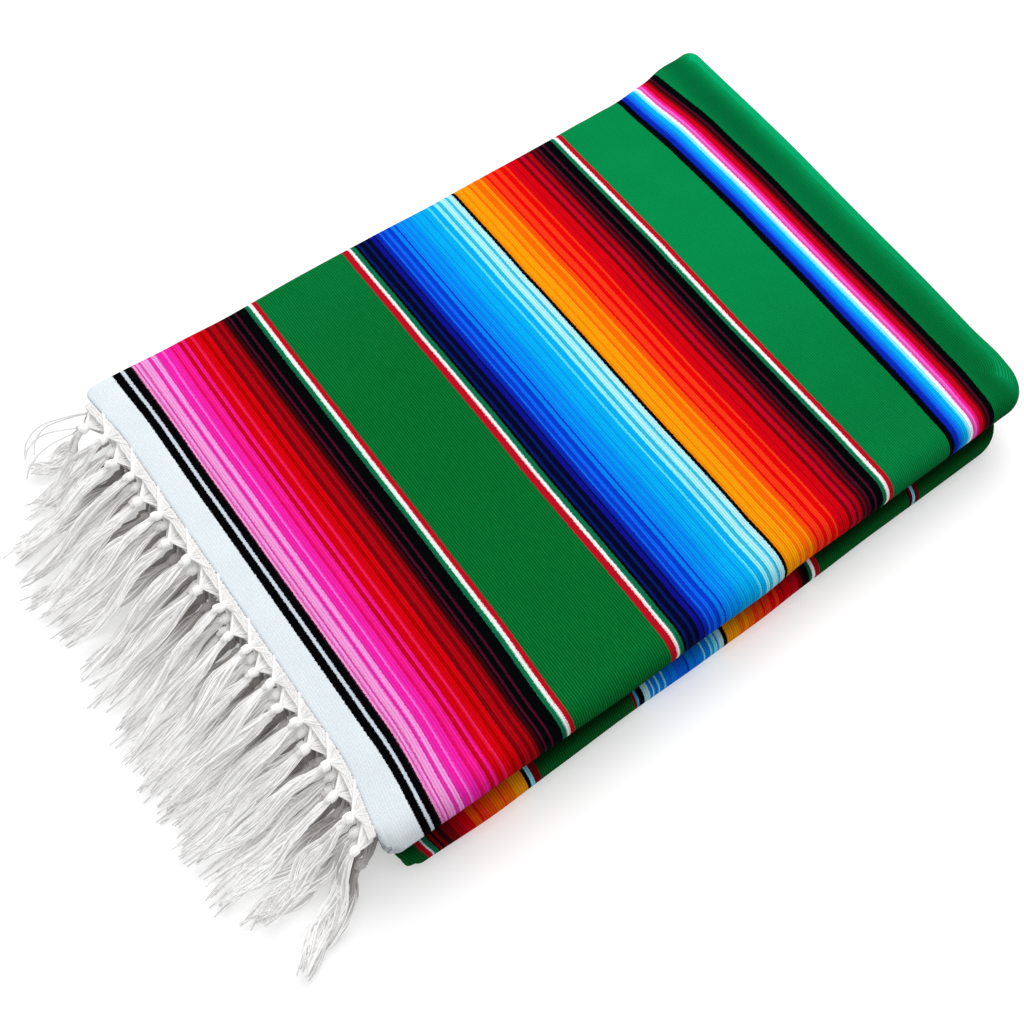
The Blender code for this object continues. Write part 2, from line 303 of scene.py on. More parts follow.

# %% [markdown]
# Soft cloth never stacks like boards. Broad swells lift or sink it, its sides
# wander along their length, and creases run over the top. Each is a row of a
# table, placed one by one, so no two of them are alike.

# %% Swells, drifts and creases
Swell = namedtuple("Swell", "x y reach_x reach_y rise")
SWELLS = (
    Swell(x=0.335, y=0.140, reach_x=0.028, reach_y=0.130, rise=0.0048),
    Swell(x=0.325, y=-0.110, reach_x=0.035, reach_y=0.090, rise=0.0022),
    Swell(x=0.264, y=0.170, reach_x=0.018, reach_y=0.080, rise=-0.0025),
    Swell(x=0.150, y=0.200, reach_x=0.110, reach_y=0.080, rise=-0.0030),
    Swell(x=0.215, y=0.010, reach_x=0.045, reach_y=0.110, rise=0.0018),
    Swell(x=0.060, y=-0.030, reach_x=0.090, reach_y=0.100, rise=0.0022),
    Swell(x=-0.060, y=0.050, reach_x=0.060, reach_y=0.070, rise=0.0012),
    Swell(x=-0.200, y=0.000, reach_x=0.035, reach_y=0.400, rise=-0.0035),
    Swell(x=-0.190, y=-0.190, reach_x=0.040, reach_y=0.050, rise=-0.0020),
)

EdgeDrift = namedtuple("EdgeDrift", "x upper lower far")
EDGE_DRIFT = (
    EdgeDrift(x=-0.184, upper=0.0025, lower=0.0015, far=0.0012),
    EdgeDrift(x=-0.120, upper=0.0008, lower=-0.0012, far=-0.0024),
    EdgeDrift(x=-0.080, upper=0.0000, lower=-0.0006, far=-0.0038),
    EdgeDrift(x=-0.020, upper=-0.0012, lower=0.0000, far=-0.0029),
    EdgeDrift(x=0.040, upper=-0.0008, lower=-0.0010, far=-0.0031),
    EdgeDrift(x=0.090, upper=-0.0010, lower=-0.0012, far=-0.0038),
    EdgeDrift(x=0.135, upper=0.0012, lower=0.0000, far=-0.0034),
    EdgeDrift(x=0.200, upper=0.0008, lower=0.0010, far=-0.0042),
    EdgeDrift(x=0.245, upper=0.0010, lower=0.0010, far=-0.0038),
    EdgeDrift(x=0.290, upper=0.0013, lower=0.0011, far=-0.0020),
    EdgeDrift(x=0.310, upper=0.0014, lower=0.0012, far=0.0008),
    EdgeDrift(x=0.345, upper=0.0014, lower=0.0012, far=0.0010),
)

# Main creases of the top: a trough has a negative rise.
Crease = namedtuple("Crease", "x y heading length width rise")
CREASES = (
    Crease(x=0.317, y=-0.020, heading=88, length=0.150, width=0.0085, rise=-0.0013),
    Crease(x=0.319, y=0.140, heading=82, length=0.060, width=0.0080, rise=-0.0016),
    Crease(x=0.338, y=0.030, heading=89, length=0.140, width=0.0060, rise=0.0008),
    Crease(x=0.300, y=0.160, heading=60, length=0.040, width=0.0090, rise=0.0009),
    Crease(x=0.240, y=0.165, heading=105, length=0.035, width=0.0100, rise=-0.0010),
    Crease(x=0.150, y=-0.150, heading=20, length=0.060, width=0.0110, rise=0.0008),
    Crease(x=0.060, y=-0.155, heading=8, length=0.070, width=0.0090, rise=-0.0007),
    Crease(x=-0.060, y=-0.150, heading=-6, length=0.060, width=0.0110, rise=0.0007),
    Crease(x=-0.140, y=-0.120, heading=75, length=0.050, width=0.0090, rise=-0.0006),
    Crease(x=-0.120, y=0.130, heading=15, length=0.060, width=0.0120, rise=0.0006),
    Crease(x=0.020, y=0.090, heading=4, length=0.120, width=0.0140, rise=-0.0006),
    Crease(x=0.180, y=0.060, heading=-12, length=0.090, width=0.0160, rise=0.0006),
)
print("swells", len(SWELLS), "drifts", len(EDGE_DRIFT), "creases", len(CREASES))

# %% [markdown]
# One function settles a point of the plain stack. It lifts the point by the
# swells and creases, draws the bundle's ends and corners in, and lets its
# sides wander. The fringe goes through it too, so it follows the cloth.

# %% Settle the stack
def smooth(value, low, high):
    """Ease from 0 at low to 1 at high."""
    t = min(1.0, max(0.0, (value - low) / (high - low)))
    return t * t * (3.0 - 2.0 * t)


def drift(x, column):
    """How far an edge has wandered at x, eased between the table's rows."""
    if x <= EDGE_DRIFT[0].x:
        return getattr(EDGE_DRIFT[0], column)
    for left, right in zip(EDGE_DRIFT, EDGE_DRIFT[1:]):
        if x <= right.x:
            share = smooth(x, left.x, right.x)
            return getattr(left, column) * (1.0 - share) + getattr(right, column) * share
    return getattr(EDGE_DRIFT[-1], column)


def crease_rise(x, y):
    """What all the creases add to the height of the top at a place."""
    rise = 0.0
    for crease in CREASES:
        heading = math.radians(crease.heading)
        along = (x - crease.x) * math.cos(heading) + (y - crease.y) * math.sin(heading)
        aside = (y - crease.y) * math.cos(heading) - (x - crease.x) * math.sin(heading)
        rise += crease.rise * math.exp(-((along / crease.length) ** 4) - (aside / crease.width) ** 2)
    return rise


def settle(x, y, z):
    """Move a point of the plain stack to its place in the soft bundle, in the frame's own axes."""
    rise = crease_rise(x, y) * smooth(z, 0.5 * TOTAL_HEIGHT, TOTAL_HEIGHT)
    for swell in SWELLS:
        away = ((x - swell.x) / swell.reach_x) ** 2 + ((y - swell.y) / swell.reach_y) ** 2
        rise += swell.rise * math.exp(-away)
    upper = smooth(z, 0.6 * LOWER_HEIGHT, 1.3 * LOWER_HEIGHT)
    near = smooth(-y, 0.120, 0.190)
    at_fold = smooth(x, 0.250, 0.335)
    low_corner = smooth(-y, 0.080, 0.180) * smooth(x, 0.250, 0.330) * (1.0 - smooth(z, 0.0270, 0.0330))
    new_x = x + FOLD_SKEW * (y / HALF_WIDTH) * smooth(x, 0.10, 0.34)
    new_x -= (NEAR_END_IN + NEAR_TOP_IN * upper) * near * smooth(-x, 0.090, 0.184)
    new_x -= FAR_TOP_IN * upper * smooth(y, 0.135, 0.185) * smooth(-x, 0.130, 0.184)
    new_x -= FOLD_SIDES_IN * smooth(abs(y), 0.050, 0.165) * at_fold
    new_x += FOLD_BULGE * math.exp(-((y - FOLD_BULGE_Y) / FOLD_BULGE_REACH) ** 2) * at_fold
    new_x -= LOWER_CORNER_BACK * low_corner
    wander = drift(x, "upper") * upper + drift(x, "lower") * (1.0 - upper)
    new_y = y + wander * smooth(-y, 0.0, 0.150) + drift(x, "far") * smooth(y, 0.0, 0.150)
    return Vector((new_x, new_y, z * (1.0 + rise / TOTAL_HEIGHT))) - MIDDLE


print("top middle settles to", [round(v, 4) for v in settle(0.0, 0.0, TOTAL_HEIGHT)])

# %% [markdown]
# ## The cloth
# The folded cloth is one shell: a cube cut into a fine grid whose points are
# moved out to the rounded creases of the near side, the layered edges of the
# far side and the fringed end, and the last fold at the other end. Each layer
# ends in a small lip with a groove beside it, which is what makes the edge of
# a folded blanket readable. Solidify then gives the shell its cloth thickness.

# %% Levels of the cloth
Level = namedtuple("Level", "z height bottom package")
GAP_DEPTH = 0.0200
LAYER_CUTS = (0.0, 0.12, 0.5, 0.88)
SHOULDER_LEVELS = (0.00012, 0.0004, 0.0008, 0.0013, 0.0020)


def package_levels(bottom, package_height, package):
    """Heights to cut a package at: four to a layer, closer at its shoulders."""
    layer = package_height / LAYERS
    heights = {0.0, package_height}
    for k in range(LAYERS):
        heights |= {(k + share) * layer for share in LAYER_CUTS}
    for step in SHOULDER_LEVELS:
        heights |= {step, package_height - step}
    spaced = []
    for h in sorted(heights):
        if not spaced or h - spaced[-1] > 1e-5:
            spaced.append(h)
    return [Level(bottom + h, h, bottom, package) for h in spaced]


lower_levels = package_levels(0.0, LOWER_HEIGHT, "lower")
upper_levels = package_levels(LOWER_HEIGHT, UPPER_HEIGHT, "upper")
gap_level = Level(LOWER_HEIGHT, 0.0, LOWER_HEIGHT, "gap")
levels = lower_levels[:-1] + [gap_level] + upper_levels[1:]
print("levels:", len(levels))

# %% [markdown]
# An edge is told by how far it draws in at each height. A crease is half of a
# rounded square, a layer's own end is a small lip, and a pair of layers folded
# over is a lip twice as high.

# %% Edges of the cloth
LIP_GROOVE = 0.0050
LIP_POWER = 4.0
OUTER_LIP = 0.0012
PAIR_LIP = 0.0060
PAIR_POWER = 2.4
PAIR_BACK = 0.0010
SELVEDGE_STEP = (0.0006, 0.0018, 0.0010, 0.0024)
SELVEDGE_WANDER = 0.0010


def round_in(t, depth, shape):
    """How far a rounded edge has drawn in, t from 0 at its middle to 1 at its rim."""
    t = min(1.0, abs(t))
    return depth * (1.0 - (1.0 - t ** shape) ** (1.0 / shape))


def fold_draw_in(z):
    """How far the last fold lies back at a height."""
    if z > FOLD_MIDDLE:
        return round_in((z - FOLD_MIDDLE) / (TOTAL_HEIGHT - FOLD_MIDDLE), FOLD_DEPTH_ABOVE, FOLD_SHAPE)
    return round_in((FOLD_MIDDLE - z) / FOLD_MIDDLE, FOLD_DEPTH_BELOW, FOLD_SHAPE)


def lip(depth_inside, pitch, groove, power):
    """Draw-in of a layer's rounded end: none at its middle, a groove at its sides."""
    phase = (depth_inside / pitch) % 1.0
    return groove * abs(2.0 * phase - 1.0) ** power


def package_size(level):
    """A package's height, and how far its near side stands proud."""
    if level.package == "lower":
        return LOWER_HEIGHT, LOWER_PROUD
    return UPPER_HEIGHT, 0.0


def near_draw_in(level):
    """The near side is one round crease for each package."""
    if level.package == "gap":
        return GAP_DEPTH
    height, proud = package_size(level)
    return round_in(2.0 * level.height / height - 1.0, 0.5 * height, CREASE_SHAPE) - proud


def far_draw_in(level, x):
    """On the far side half of the layers end in a crease and half in the cloth's own edges."""
    if level.package == "gap":
        return GAP_DEPTH
    height, _ = package_size(level)
    half = 0.5 * height
    inward = level.height - half if level.package == "upper" else half - level.height
    if inward >= 0.0:
        return round_in(2.0 * inward / half - 1.0, 0.5 * half, CREASE_SHAPE)
    pitch = height / LAYERS
    layer = min(3, int(-inward / pitch - 1e-6))
    wander = SELVEDGE_WANDER * noise.noise(Vector((x * 14.0, layer * 3.7, level.bottom * 90.0)))
    return SELVEDGE_STEP[layer] + wander + lip(-inward, pitch, LIP_GROOVE, LIP_POWER)


def fringe_draw_in(level, y):
    """The cut ends above, and the folds of the pairs of layers below."""
    if level.package == "gap":
        return GAP_DEPTH
    height, proud = package_size(level)
    half = 0.5 * height
    h = level.height
    near_centre = -HALF_WIDTH - proud + half
    inside = half - abs(h - half)
    if y < near_centre:
        inside = max(0.0, half - math.hypot(y - near_centre, h - half))
    pitch = height / LAYERS
    if level.package == "upper":
        pair = PAIR_STEP[min(3, int(h / (2.0 * pitch)))]
        depth = OUTER_LIP if inside < 0.5 * pitch else LIP_GROOVE
        return pair + lip(inside, pitch, depth, LIP_POWER)
    depth = 0.6 * PAIR_LIP if inside < pitch else PAIR_LIP
    return PAIR_BACK + lip(inside, 2.0 * pitch, depth, PAIR_POWER)


print("layer of the upper package", UPPER_HEIGHT / LAYERS)

# %% [markdown]
# The grid is fine where the cloth turns and coarse where it lies flat. One
# operator for each axis cuts a cube's sides, and the four corners of the bundle
# are rounded as its points are placed, each with a radius above and one below.

# %% Grid of the cloth
Run = namedtuple("Run", "until step")
ALONG_RUNS = (Run(0.0100, 0.0012), Run(0.3000, 0.0070), Run(0.4900, 0.0060), Run(0.5316, 0.0024))
ACROSS_RUNS = (Run(0.0180, 0.0014), Run(0.3480, 0.0075), Run(0.3750, 0.0020))
Corner = namedtuple("Corner", "at_fold at_far top bottom")
CORNERS = (
    Corner(at_fold=False, at_far=False, top=0.0100, bottom=0.0060),
    Corner(at_fold=False, at_far=True, top=0.0060, bottom=0.0060),
    Corner(at_fold=True, at_far=False, top=0.0225, bottom=0.0170),
    Corner(at_fold=True, at_far=True, top=0.0080, bottom=0.0240),
)


def shares(runs):
    """Where a side is cut, as shares of it, from runs of even steps."""
    places = [0.0]
    for run in runs:
        count = max(1, round((run.until - places[-1]) / run.step))
        start = places[-1]
        places += [start + (run.until - start) * (i + 1) / count for i in range(count)]
    return [p / places[-1] for p in places]


def cut_block(counts):
    """A cube from 0 to 1 whose sides are cut evenly, so many times along each axis."""
    bm = bmesh.new()
    bmesh.ops.create_cube(bm, size=1.0)
    bmesh.ops.translate(bm, verts=bm.verts[:], vec=(0.5, 0.5, 0.5))
    for axis, count in enumerate(counts):
        runs_along = [e for e in bm.edges if abs(e.verts[1].co[axis] - e.verts[0].co[axis]) > 1e-5]
        bmesh.ops.subdivide_edges(bm, edges=runs_along, cuts=count - 1, use_grid_fill=True)
    return bm


def round_corner(x, y, z, low, high):
    """Draw a point in a square corner onto the corner's round."""
    for corner in CORNERS:
        r = corner.bottom + (corner.top - corner.bottom) * z / TOTAL_HEIGHT
        centre_x = high[0] - r if corner.at_fold else low[0] + r
        centre_y = high[1] - r if corner.at_far else low[1] + r
        out_x = (x - centre_x) if corner.at_fold else (centre_x - x)
        out_y = (y - centre_y) if corner.at_far else (centre_y - y)
        if out_x > 0.0 and out_y > 0.0:
            share = max(out_x, out_y) / math.hypot(out_x, out_y)
            x = centre_x + (x - centre_x) * share
            y = centre_y + (y - centre_y) * share
    return x, y


def stack_point(u, v, level):
    """Where a grid point lies in the plain stack, before and after its corners are rounded."""
    x_guess = FRINGE_EDGE_X + (FOLD_END_X - FRINGE_EDGE_X) * u
    inner = smooth(u, 0.90, 1.0)
    near, far = near_draw_in(level), far_draw_in(level, x_guess)
    near += (min(near, 0.5 * UPPER_HEIGHT) - near) * inner
    far += (min(far, 0.4 * UPPER_HEIGHT) - far) * inner
    low_y, high_y = -HALF_WIDTH + near, HALF_WIDTH - far
    y = low_y + (high_y - low_y) * v
    low_x = FRINGE_EDGE_X + fringe_draw_in(level, y)
    high_x = FOLD_END_X - fold_draw_in(level.z)
    x = low_x + (high_x - low_x) * u
    rounded = round_corner(x, y, level.z, (low_x, low_y), (high_x, high_y))
    return (x, y), rounded


print("cuts:", len(shares(ALONG_RUNS)), "by", len(shares(ACROSS_RUNS)))

# %% [markdown]
# A woven pattern has to follow the cloth round its folds, so the shell gets a
# UV map in metres: the first number runs along the warp and the second along
# the weft. On the last fold the warp goes on down the end, so the length
# walked over the fold is added there.

# %% Build the cloth
def walked(profile):
    """The length walked down a profile of (out, z) points, from its last point to each."""
    lengths = [0.0]
    for (a, za), (b, zb) in zip(profile[::-1], profile[-2::-1]):
        lengths.append(lengths[-1] + math.hypot(b - a, zb - za))
    return lengths[::-1]


def side_of(face):
    """Which side of the block a face is on: an axis and 0 or 1."""
    middle = face.calc_center_median()
    for axis in range(3):
        if middle[axis] < 1e-4:
            return axis, 0
        if middle[axis] > 1.0 - 1e-4:
            return axis, 1
    return 2, 1


def build_cloth():
    """The folded cloth as a closed shell with its warp and weft lengths as a UV map."""
    along, across = shares(ALONG_RUNS), shares(ACROSS_RUNS)
    counts = (len(along) - 1, len(across) - 1, len(levels) - 1)
    fold_walk = walked([(-fold_draw_in(level.z), level.z) for level in levels])
    near_walk = walked([(near_draw_in(level), level.z) for level in levels])
    bm = cut_block(counts)
    uv_layer = bm.loops.layers.uv.new("weave")
    sides = {face: side_of(face) for face in bm.faces}
    grid = {}
    for v in bm.verts:
        i, j, k = (round(v.co[axis] * counts[axis]) for axis in range(3))
        plain, rounded = stack_point(along[i], across[j], levels[k])
        grid[v] = (plain, k)
        v.co = settle(rounded[0], rounded[1], levels[k].z)
    for face, (axis, end) in sides.items():
        for loop in face.loops:
            (x, y), k = grid[loop.vert]
            if (axis, end) == (0, 1):
                loop[uv_layer].uv = (FOLD_END_X + fold_walk[k], y)
            elif axis == 1:
                loop[uv_layer].uv = (x, y + (near_walk[k] if end else -near_walk[k]))
            else:
                loop[uv_layer].uv = (x, y)
        face.smooth = True
    bmesh.ops.recalc_face_normals(bm, faces=bm.faces[:])
    return object_from(bm, "woven_cloth")


CLOTH_THICKNESS = 0.0014
cloth = build_cloth()
shell = cloth.modifiers.new("cloth_thickness", "SOLIDIFY")
shell.thickness = CLOTH_THICKNESS
shell.offset = -1.0
shell.use_even_offset = False
print("cloth faces:", len(cloth.data.polygons))

# %% [markdown]
# ## The stripes
# The weft changes colour stripe by stripe, in bands that shade from one hue to
# the next, between wide green grounds. A weaver would chart them as a list of
# yarns and the place where each ends, and that is how they are kept here, in
# millimetres along the stack. The top shows one half of the blanket's pattern
# and the lower package the other.

# %% Yarns and stripe plans
YARNS = {
    "white": "F7FDFF", "band_white": "EAF3F8", "silver": "D0DAE4", "mint": "C4EAD8", "shell": "FFE0DE",
    "black": "040608", "green": "086E2E", "trio_green": "126E4A", "trio_red": "BA1024",
    "blush": "FFDAFA", "pale_pink": "F29CD6", "lavender_pink": "FA98E2", "orchid": "D850AA",
    "magenta": "E430A6", "pink": "FC68D4", "hot_pink": "F424AA", "cerise": "F41C8A", "rose": "EC1E58",
    "deep_rose": "DA0858", "crimson": "C60622", "red": "D40412", "scarlet": "E40808", "brick": "B00614",
    "deep_red": "AC0404", "dark_red": "7A060C", "maroon": "700618", "oxblood": "32080E",
    "plum": "480E24", "ink": "04082A", "indigo": "10128C", "navy": "0A1A60", "blue": "0A26AE",
    "royal": "063CCA", "bright_blue": "1064EA", "azure": "0A80EE", "cerulean": "0696EE",
    "sky": "08ACF0", "pale_sky": "56DAF8", "lagoon": "30B8DE", "ice": "90EAFA",
    "lavender_ice": "B4ECF8", "marigold": "FA9C0C", "amber": "EE8604", "saffron": "FC8E0E",
    "orange": "F66A06", "orange_red": "F6500C", "vermilion": "F83818",
}
TOP_PLAN = """
band_white -165.1, black -159.9, silver -157.7, black -153.3, plum -152.4, pale_pink -151.0,
orchid -150.0, lavender_pink -148.3, orchid -146.9, pale_pink -144.4, lavender_pink -142.3,
magenta -139.7, lavender_pink -136.7, magenta -135.3, hot_pink -132.2, pink -130.6, hot_pink -126.4,
cerise -125.5, deep_rose -124.5, cerise -122.2, hot_pink -121.0, cerise -119.6, crimson -117.0,
cerise -114.8, crimson -113.8, red -110.3, rose -108.4, red -104.0, deep_red -101.6, red -98.4,
dark_red -95.4, brick -91.6, dark_red -89.0, brick -87.2, dark_red -84.9, oxblood -82.0, black -80.8,
plum -79.2, black -75.8, plum -74.2, black -66.9, trio_green -63.9, mint -63.0, white -62.1,
shell -61.2, trio_red -58.0, green 13.7, trio_red 18.4, shell 19.1, white 20.0, mint 20.8,
trio_green 23.9, black 25.6, navy 27.6, ink 31.4, navy 33.4, ink 36.6, indigo 39.8, ink 41.0, blue 44.0,
bright_blue 45.6, royal 48.4, bright_blue 51.0, royal 54.0, azure 56.8, royal 58.6, azure 61.4,
cerulean 62.6, azure 65.4, cerulean 67.6, azure 69.4, cerulean 72.4, sky 74.0, cerulean 75.6, sky 80.0,
cerulean 81.4, sky 86.0, pale_sky 87.4, sky 91.7, ice 94.5, lagoon 97.2, ice 98.2, lavender_ice 100.6,
ice 102.0, lagoon 103.8, lavender_ice 107.8, black 110.4, amber 112.4, marigold 115.8, amber 117.2,
marigold 121.8, orange 123.8, saffron 127.2, orange 131.8, saffron 133.8, orange_red 137.8,
scarlet 139.4, vermilion 143.7, scarlet 146.7, vermilion 150.3, scarlet 154.5, vermilion 156.1,
red 160.6, brick 161.8, red 166.2, dark_red 169.0, crimson 172.4, maroon 174.8, brick 177.6,
maroon 179.0, oxblood 180.6, maroon 182.2, oxblood 184.0, plum 185.6, black 189.6, plum 191.2,
black 197.2, trio_green 200.1, mint 201.1, white 202.2, shell 203.0, trio_red 206.8, green 265.4,
black 269.2, ink 270.6, blue 274.0, royal 275.2, bright_blue 277.0, azure 278.6, cerulean 279.8,
sky 282.9, pale_sky 283.9, ice 285.6, white 287.2, blush 288.2, orchid 289.9, pink 291.8, cerise 294.1,
crimson 298.2, dark_red 300.4, oxblood 302.6, plum 304.2, black 309.3, green 330.0
"""

LOWER_PLAN = """
green -169.6, trio_red -166.4, silver -165.4, trio_green -162.6, oxblood -161.2, dark_red -159.6,
black -158.2, dark_red -156.0, oxblood -153.0, dark_red -148.0, brick -143.5, crimson -142.5,
red -137.0, orange_red -132.0, red -131.0, vermilion -127.0, orange_red -122.0, orange -116.0,
vermilion -115.0, orange -108.0, marigold -99.5, black -96.6, ice -94.0, dark_red -89.5, green -15.4,
dark_red -13.2, lagoon -11.7, black -7.2, lavender_ice -3.0, azure -0.8, ice 0.2, azure 3.4, ice 4.8,
azure 8.3, ice 9.4, azure 13.0, bright_blue 14.6, azure 18.0, bright_blue 27.0, royal 28.2, azure 33.0,
bright_blue 34.4, azure 41.0, ice 42.3, azure 46.8, ice 48.2, sky 50.2, ice 52.6, cerulean 54.0,
lavender_ice 58.0, black 60.9, marigold 66.0, amber 67.0, marigold 71.3, amber 72.4, orange 76.0,
saffron 79.0, orange 84.3, vermilion 88.0, orange_red 92.0, scarlet 93.2, vermilion 99.0, scarlet 103.0,
vermilion 106.0, red 110.0, dark_red 111.2, red 117.0, brick 118.4, crimson 123.5, dark_red 127.0,
oxblood 130.0, black 134.2, trio_green 136.8, white 139.2, trio_red 143.0, green 230.0, oxblood 231.0,
maroon 233.4, ice 235.2, black 236.8, maroon 240.0, green 330.0
"""

Stripe = namedtuple("Stripe", "yarn start until")
PLAN_START = -190.0


def read_plan(text):
    """A plan's stripes, each starting where the one before it ends."""
    stripes, start = [], PLAN_START
    for entry in text.replace("\n", " ").split(","):
        yarn, until = entry.split()
        stripes.append(Stripe(yarn, start, float(until)))
        start = float(until)
    return stripes


top_stripes = read_plan(TOP_PLAN)
lower_stripes = read_plan(LOWER_PLAN)
print("stripes:", len(top_stripes), "above,", len(lower_stripes), "below")

# %% [markdown]
# A colour ramp holds up to 32 stops and is read in 256 steps, so a plan is
# spread over several short ramps, and each takes over from the one before at
# its first stripe. A stop's alpha says how clearly the ribs of its yarn show:
# most on the plain green ground.

# %% Stripes as ramps
RAMP_STOPS = 22
GROUND = "green"
RIB_SHOWS = {GROUND: 1.0, "white": 0.10, "band_white": 0.10, "silver": 0.10, "black": 0.4}
STRIPE_RIBS = 0.45
DYE_DEPTH = 0.94


def ramp_colour(yarn):
    """A yarn's colour a little under its look in full light, with its rib strength as alpha."""
    return (*dye(YARNS[yarn], DYE_DEPTH), RIB_SHOWS.get(yarn, STRIPE_RIBS))


def striped(recipe, place, stripes):
    """The yarn colour and rib strength at a place in millimetres, from a plan."""
    colour, strength = None, None
    for first in range(0, len(stripes), RAMP_STOPS):
        part = stripes[first:first + RAMP_STOPS]
        low, high = part[0].start, part[-1].until
        stops = [((stripe.start - low) / (high - low), ramp_colour(stripe.yarn)) for stripe in part]
        here = (place - low) / (high - low)
        ramp = recipe.node("ShaderNodeValToRGB", {"stops": stops}, {"Fac": here})
        alpha = ramp.also("Alpha")
        if colour is None:
            colour, strength = ramp, alpha
        else:
            past = place.above(low)
            colour = recipe.blend(past, colour, ramp)
            strength = strength + (alpha - strength) * past
    return colour, strength


print("ramps:", math.ceil(len(top_stripes) / RAMP_STOPS), "and", math.ceil(len(lower_stripes) / RAMP_STOPS))

# %% [markdown]
# Cloth that has been pulled and folded never keeps its stripes quite straight.
# Each bend of the table shifts them a little along the warp, softly over a run
# of the weft and a run of the warp, and some only on the upper package. Noise
# then makes a stripe's edge wander from yarn to yarn.

# %% Bends of the stripes
Bend = namedtuple("Bend", "shift weft warp until upper_only", defaults=(None, False))
FOLD_RUN = (0.225, 0.275)
BENDS = (
    Bend(shift=0.0006, weft=(0.050, 0.135), warp=FOLD_RUN),
    Bend(shift=0.0040, weft=(0.120, 0.190), warp=FOLD_RUN),
    Bend(shift=0.0030, weft=(0.115, 0.175), warp=(0.272, 0.300)),
    Bend(shift=-0.0004, weft=(-0.010, -0.120), warp=FOLD_RUN),
    Bend(shift=-0.0022, weft=(-0.010, -0.125), warp=(0.262, 0.296)),
    Bend(shift=0.0012, weft=(0.000, -0.120), warp=FOLD_RUN),
    Bend(shift=0.0022, weft=(-0.120, -0.185), warp=FOLD_RUN),
    Bend(shift=-0.0014, weft=(-0.030, -0.150), warp=(-0.050, 0.010), until=FOLD_RUN),
    Bend(shift=-0.0007, weft=(-0.020, -0.120), warp=(0.050, 0.090), until=FOLD_RUN),
    Bend(shift=-0.0046, weft=(-0.115, -0.170), warp=(-0.130, -0.172), upper_only=True),
    Bend(shift=-0.0010, weft=(0.135, 0.185), warp=(-0.060, -0.140), upper_only=True),
    Bend(shift=0.0024, weft=(-0.105, -0.170), warp=(0.010, -0.055), until=(-0.070, -0.130), upper_only=True),
)
SLOW_WANDER = 0.0014
YARN_WANDER = 0.0006
FIBRE_WANDER = 0.0018
TOOTH = 0.0005
RIB_PITCH = 0.00170


def stripe_bend(warp, weft, is_upper):
    """How far all the bends shift the stripes at a place."""
    total = 0.0
    for bend in BENDS:
        shift = weft.eased(Ease(*bend.weft, last=bend.shift)) * warp.eased(Ease(*bend.warp))
        if bend.until:
            shift = shift * warp.eased(Ease(*bend.until, first=1.0, last=0.0))
        if bend.upper_only:
            shift = shift * is_upper
        total = total + shift
    return total


def stripe_place(recipe, weave, warp, weft, bend, slow):
    """The place along the warp, in metres, whose colour a point of the cloth takes."""
    straying = recipe.clouds(weave, 320.0, 1.0)
    fibre = recipe.clouds(weave, 2000.0, 1.0)
    tooth = ((weft / (2.0 * RIB_PITCH)).fraction() - 0.5).size() * TOOTH
    wander = (slow - 0.5) * SLOW_WANDER + (straying - 0.5) * YARN_WANDER + (fibre - 0.5) * FIBRE_WANDER
    return warp + bend + wander + tooth


print("bends:", len(BENDS))

# %% [markdown]
# The green ground is lighter towards the far side, partly a painted light
# gradient and partly a change in the dye. Along the ridge where the cloth turns
# over at the last fold it is pale, partly worn and partly a painted highlight,
# with painted shade in the valley before it. Little light reaches the sides, so
# they are shaded by height.

# %% Painted light and wear on the green, and shaded sides
ON_GROUND = 0.9   # only the ground's own yarn shows its ribs more than this
# The far side's green: partly a painted light gradient, partly a change in the dye.
FAR_GREEN = "058A4A"
FAR_ALONG = Ease(low=0.050, high=0.215)
FAR_ACROSS = Ease(low=-0.150, high=0.040, first=0.50)
FAR_EDGE = Ease(low=0.060, high=0.190, last=0.22)
# The ridge's pale green: partly wear and partly a painted highlight.
WORN_HIGHLIGHT_GREEN = "04A76A"
RIDGE_STRAY = 0.006
RIDGE_RISE = Ease(low=0.325, high=0.341)
RIDGE_FALL = Ease(low=0.352, high=0.368, first=1.0, last=0.1)
RIDGE_ACROSS = Ease(low=-0.170, high=0.120, first=0.34, last=0.92)
# Painted shade darkens the valley before the ridge.
VALLEY_SHADE = 0.56
VALLEY_RISE = Ease(low=0.298, high=0.318)
VALLEY_FALL = Ease(low=0.320, high=0.338, first=1.0, last=0.0)
VALLEY_ACROSS = Ease(low=-0.180, high=0.150, first=0.66)
LOW_SIDE = Ease(low=0.0210, high=0.0285, first=0.46, last=0.10)
HIGH_SIDE = Ease(low=0.0340, high=0.0600, last=0.90)
SHADE_SHOWS = Ease(low=0.10, high=1.00, first=0.35)


def lit_and_worn_ground(recipe, colour, far_share, ridge_share):
    """The colour with its ground lighter at the far side, partly painted light, and pale on the ridge, partly
    wear and partly a painted highlight.
    """
    colour = recipe.blend(far_share, colour, (*dye(FAR_GREEN, DYE_DEPTH), 1.0))
    return recipe.blend(ridge_share, colour, (*dye(WORN_HIGHLIGHT_GREEN), 1.0))


def ridge(warp, weft, patch):
    """How much the ridge of the last fold is worn and carries a painted highlight at a place."""
    rise = (warp + (patch - 0.5) * RIDGE_STRAY).eased(RIDGE_RISE)
    return rise * warp.eased(RIDGE_FALL) * weft.eased(RIDGE_ACROSS)


def valley_light(warp, weft, on_ground):
    """How light the valley before the ridge is left by its painted shade."""
    valley = warp.eased(VALLEY_RISE) * warp.eased(VALLEY_FALL) * weft.eased(VALLEY_ACROSS) * on_ground
    return 1.0 - (1.0 - VALLEY_SHADE) * valley


def side_light(height, ribs):
    """How light a side is at a height. It tells most where the ribs are clear."""
    light = height.eased(LOW_SIDE) + height.eased(HIGH_SIDE)
    return 1.0 - (1.0 - light) * ribs.eased(SHADE_SHOWS)


# The ridge is partly worn and partly a painted highlight.
print("worn ridge along the warp:", RIDGE_RISE.low, "to", RIDGE_FALL.high)
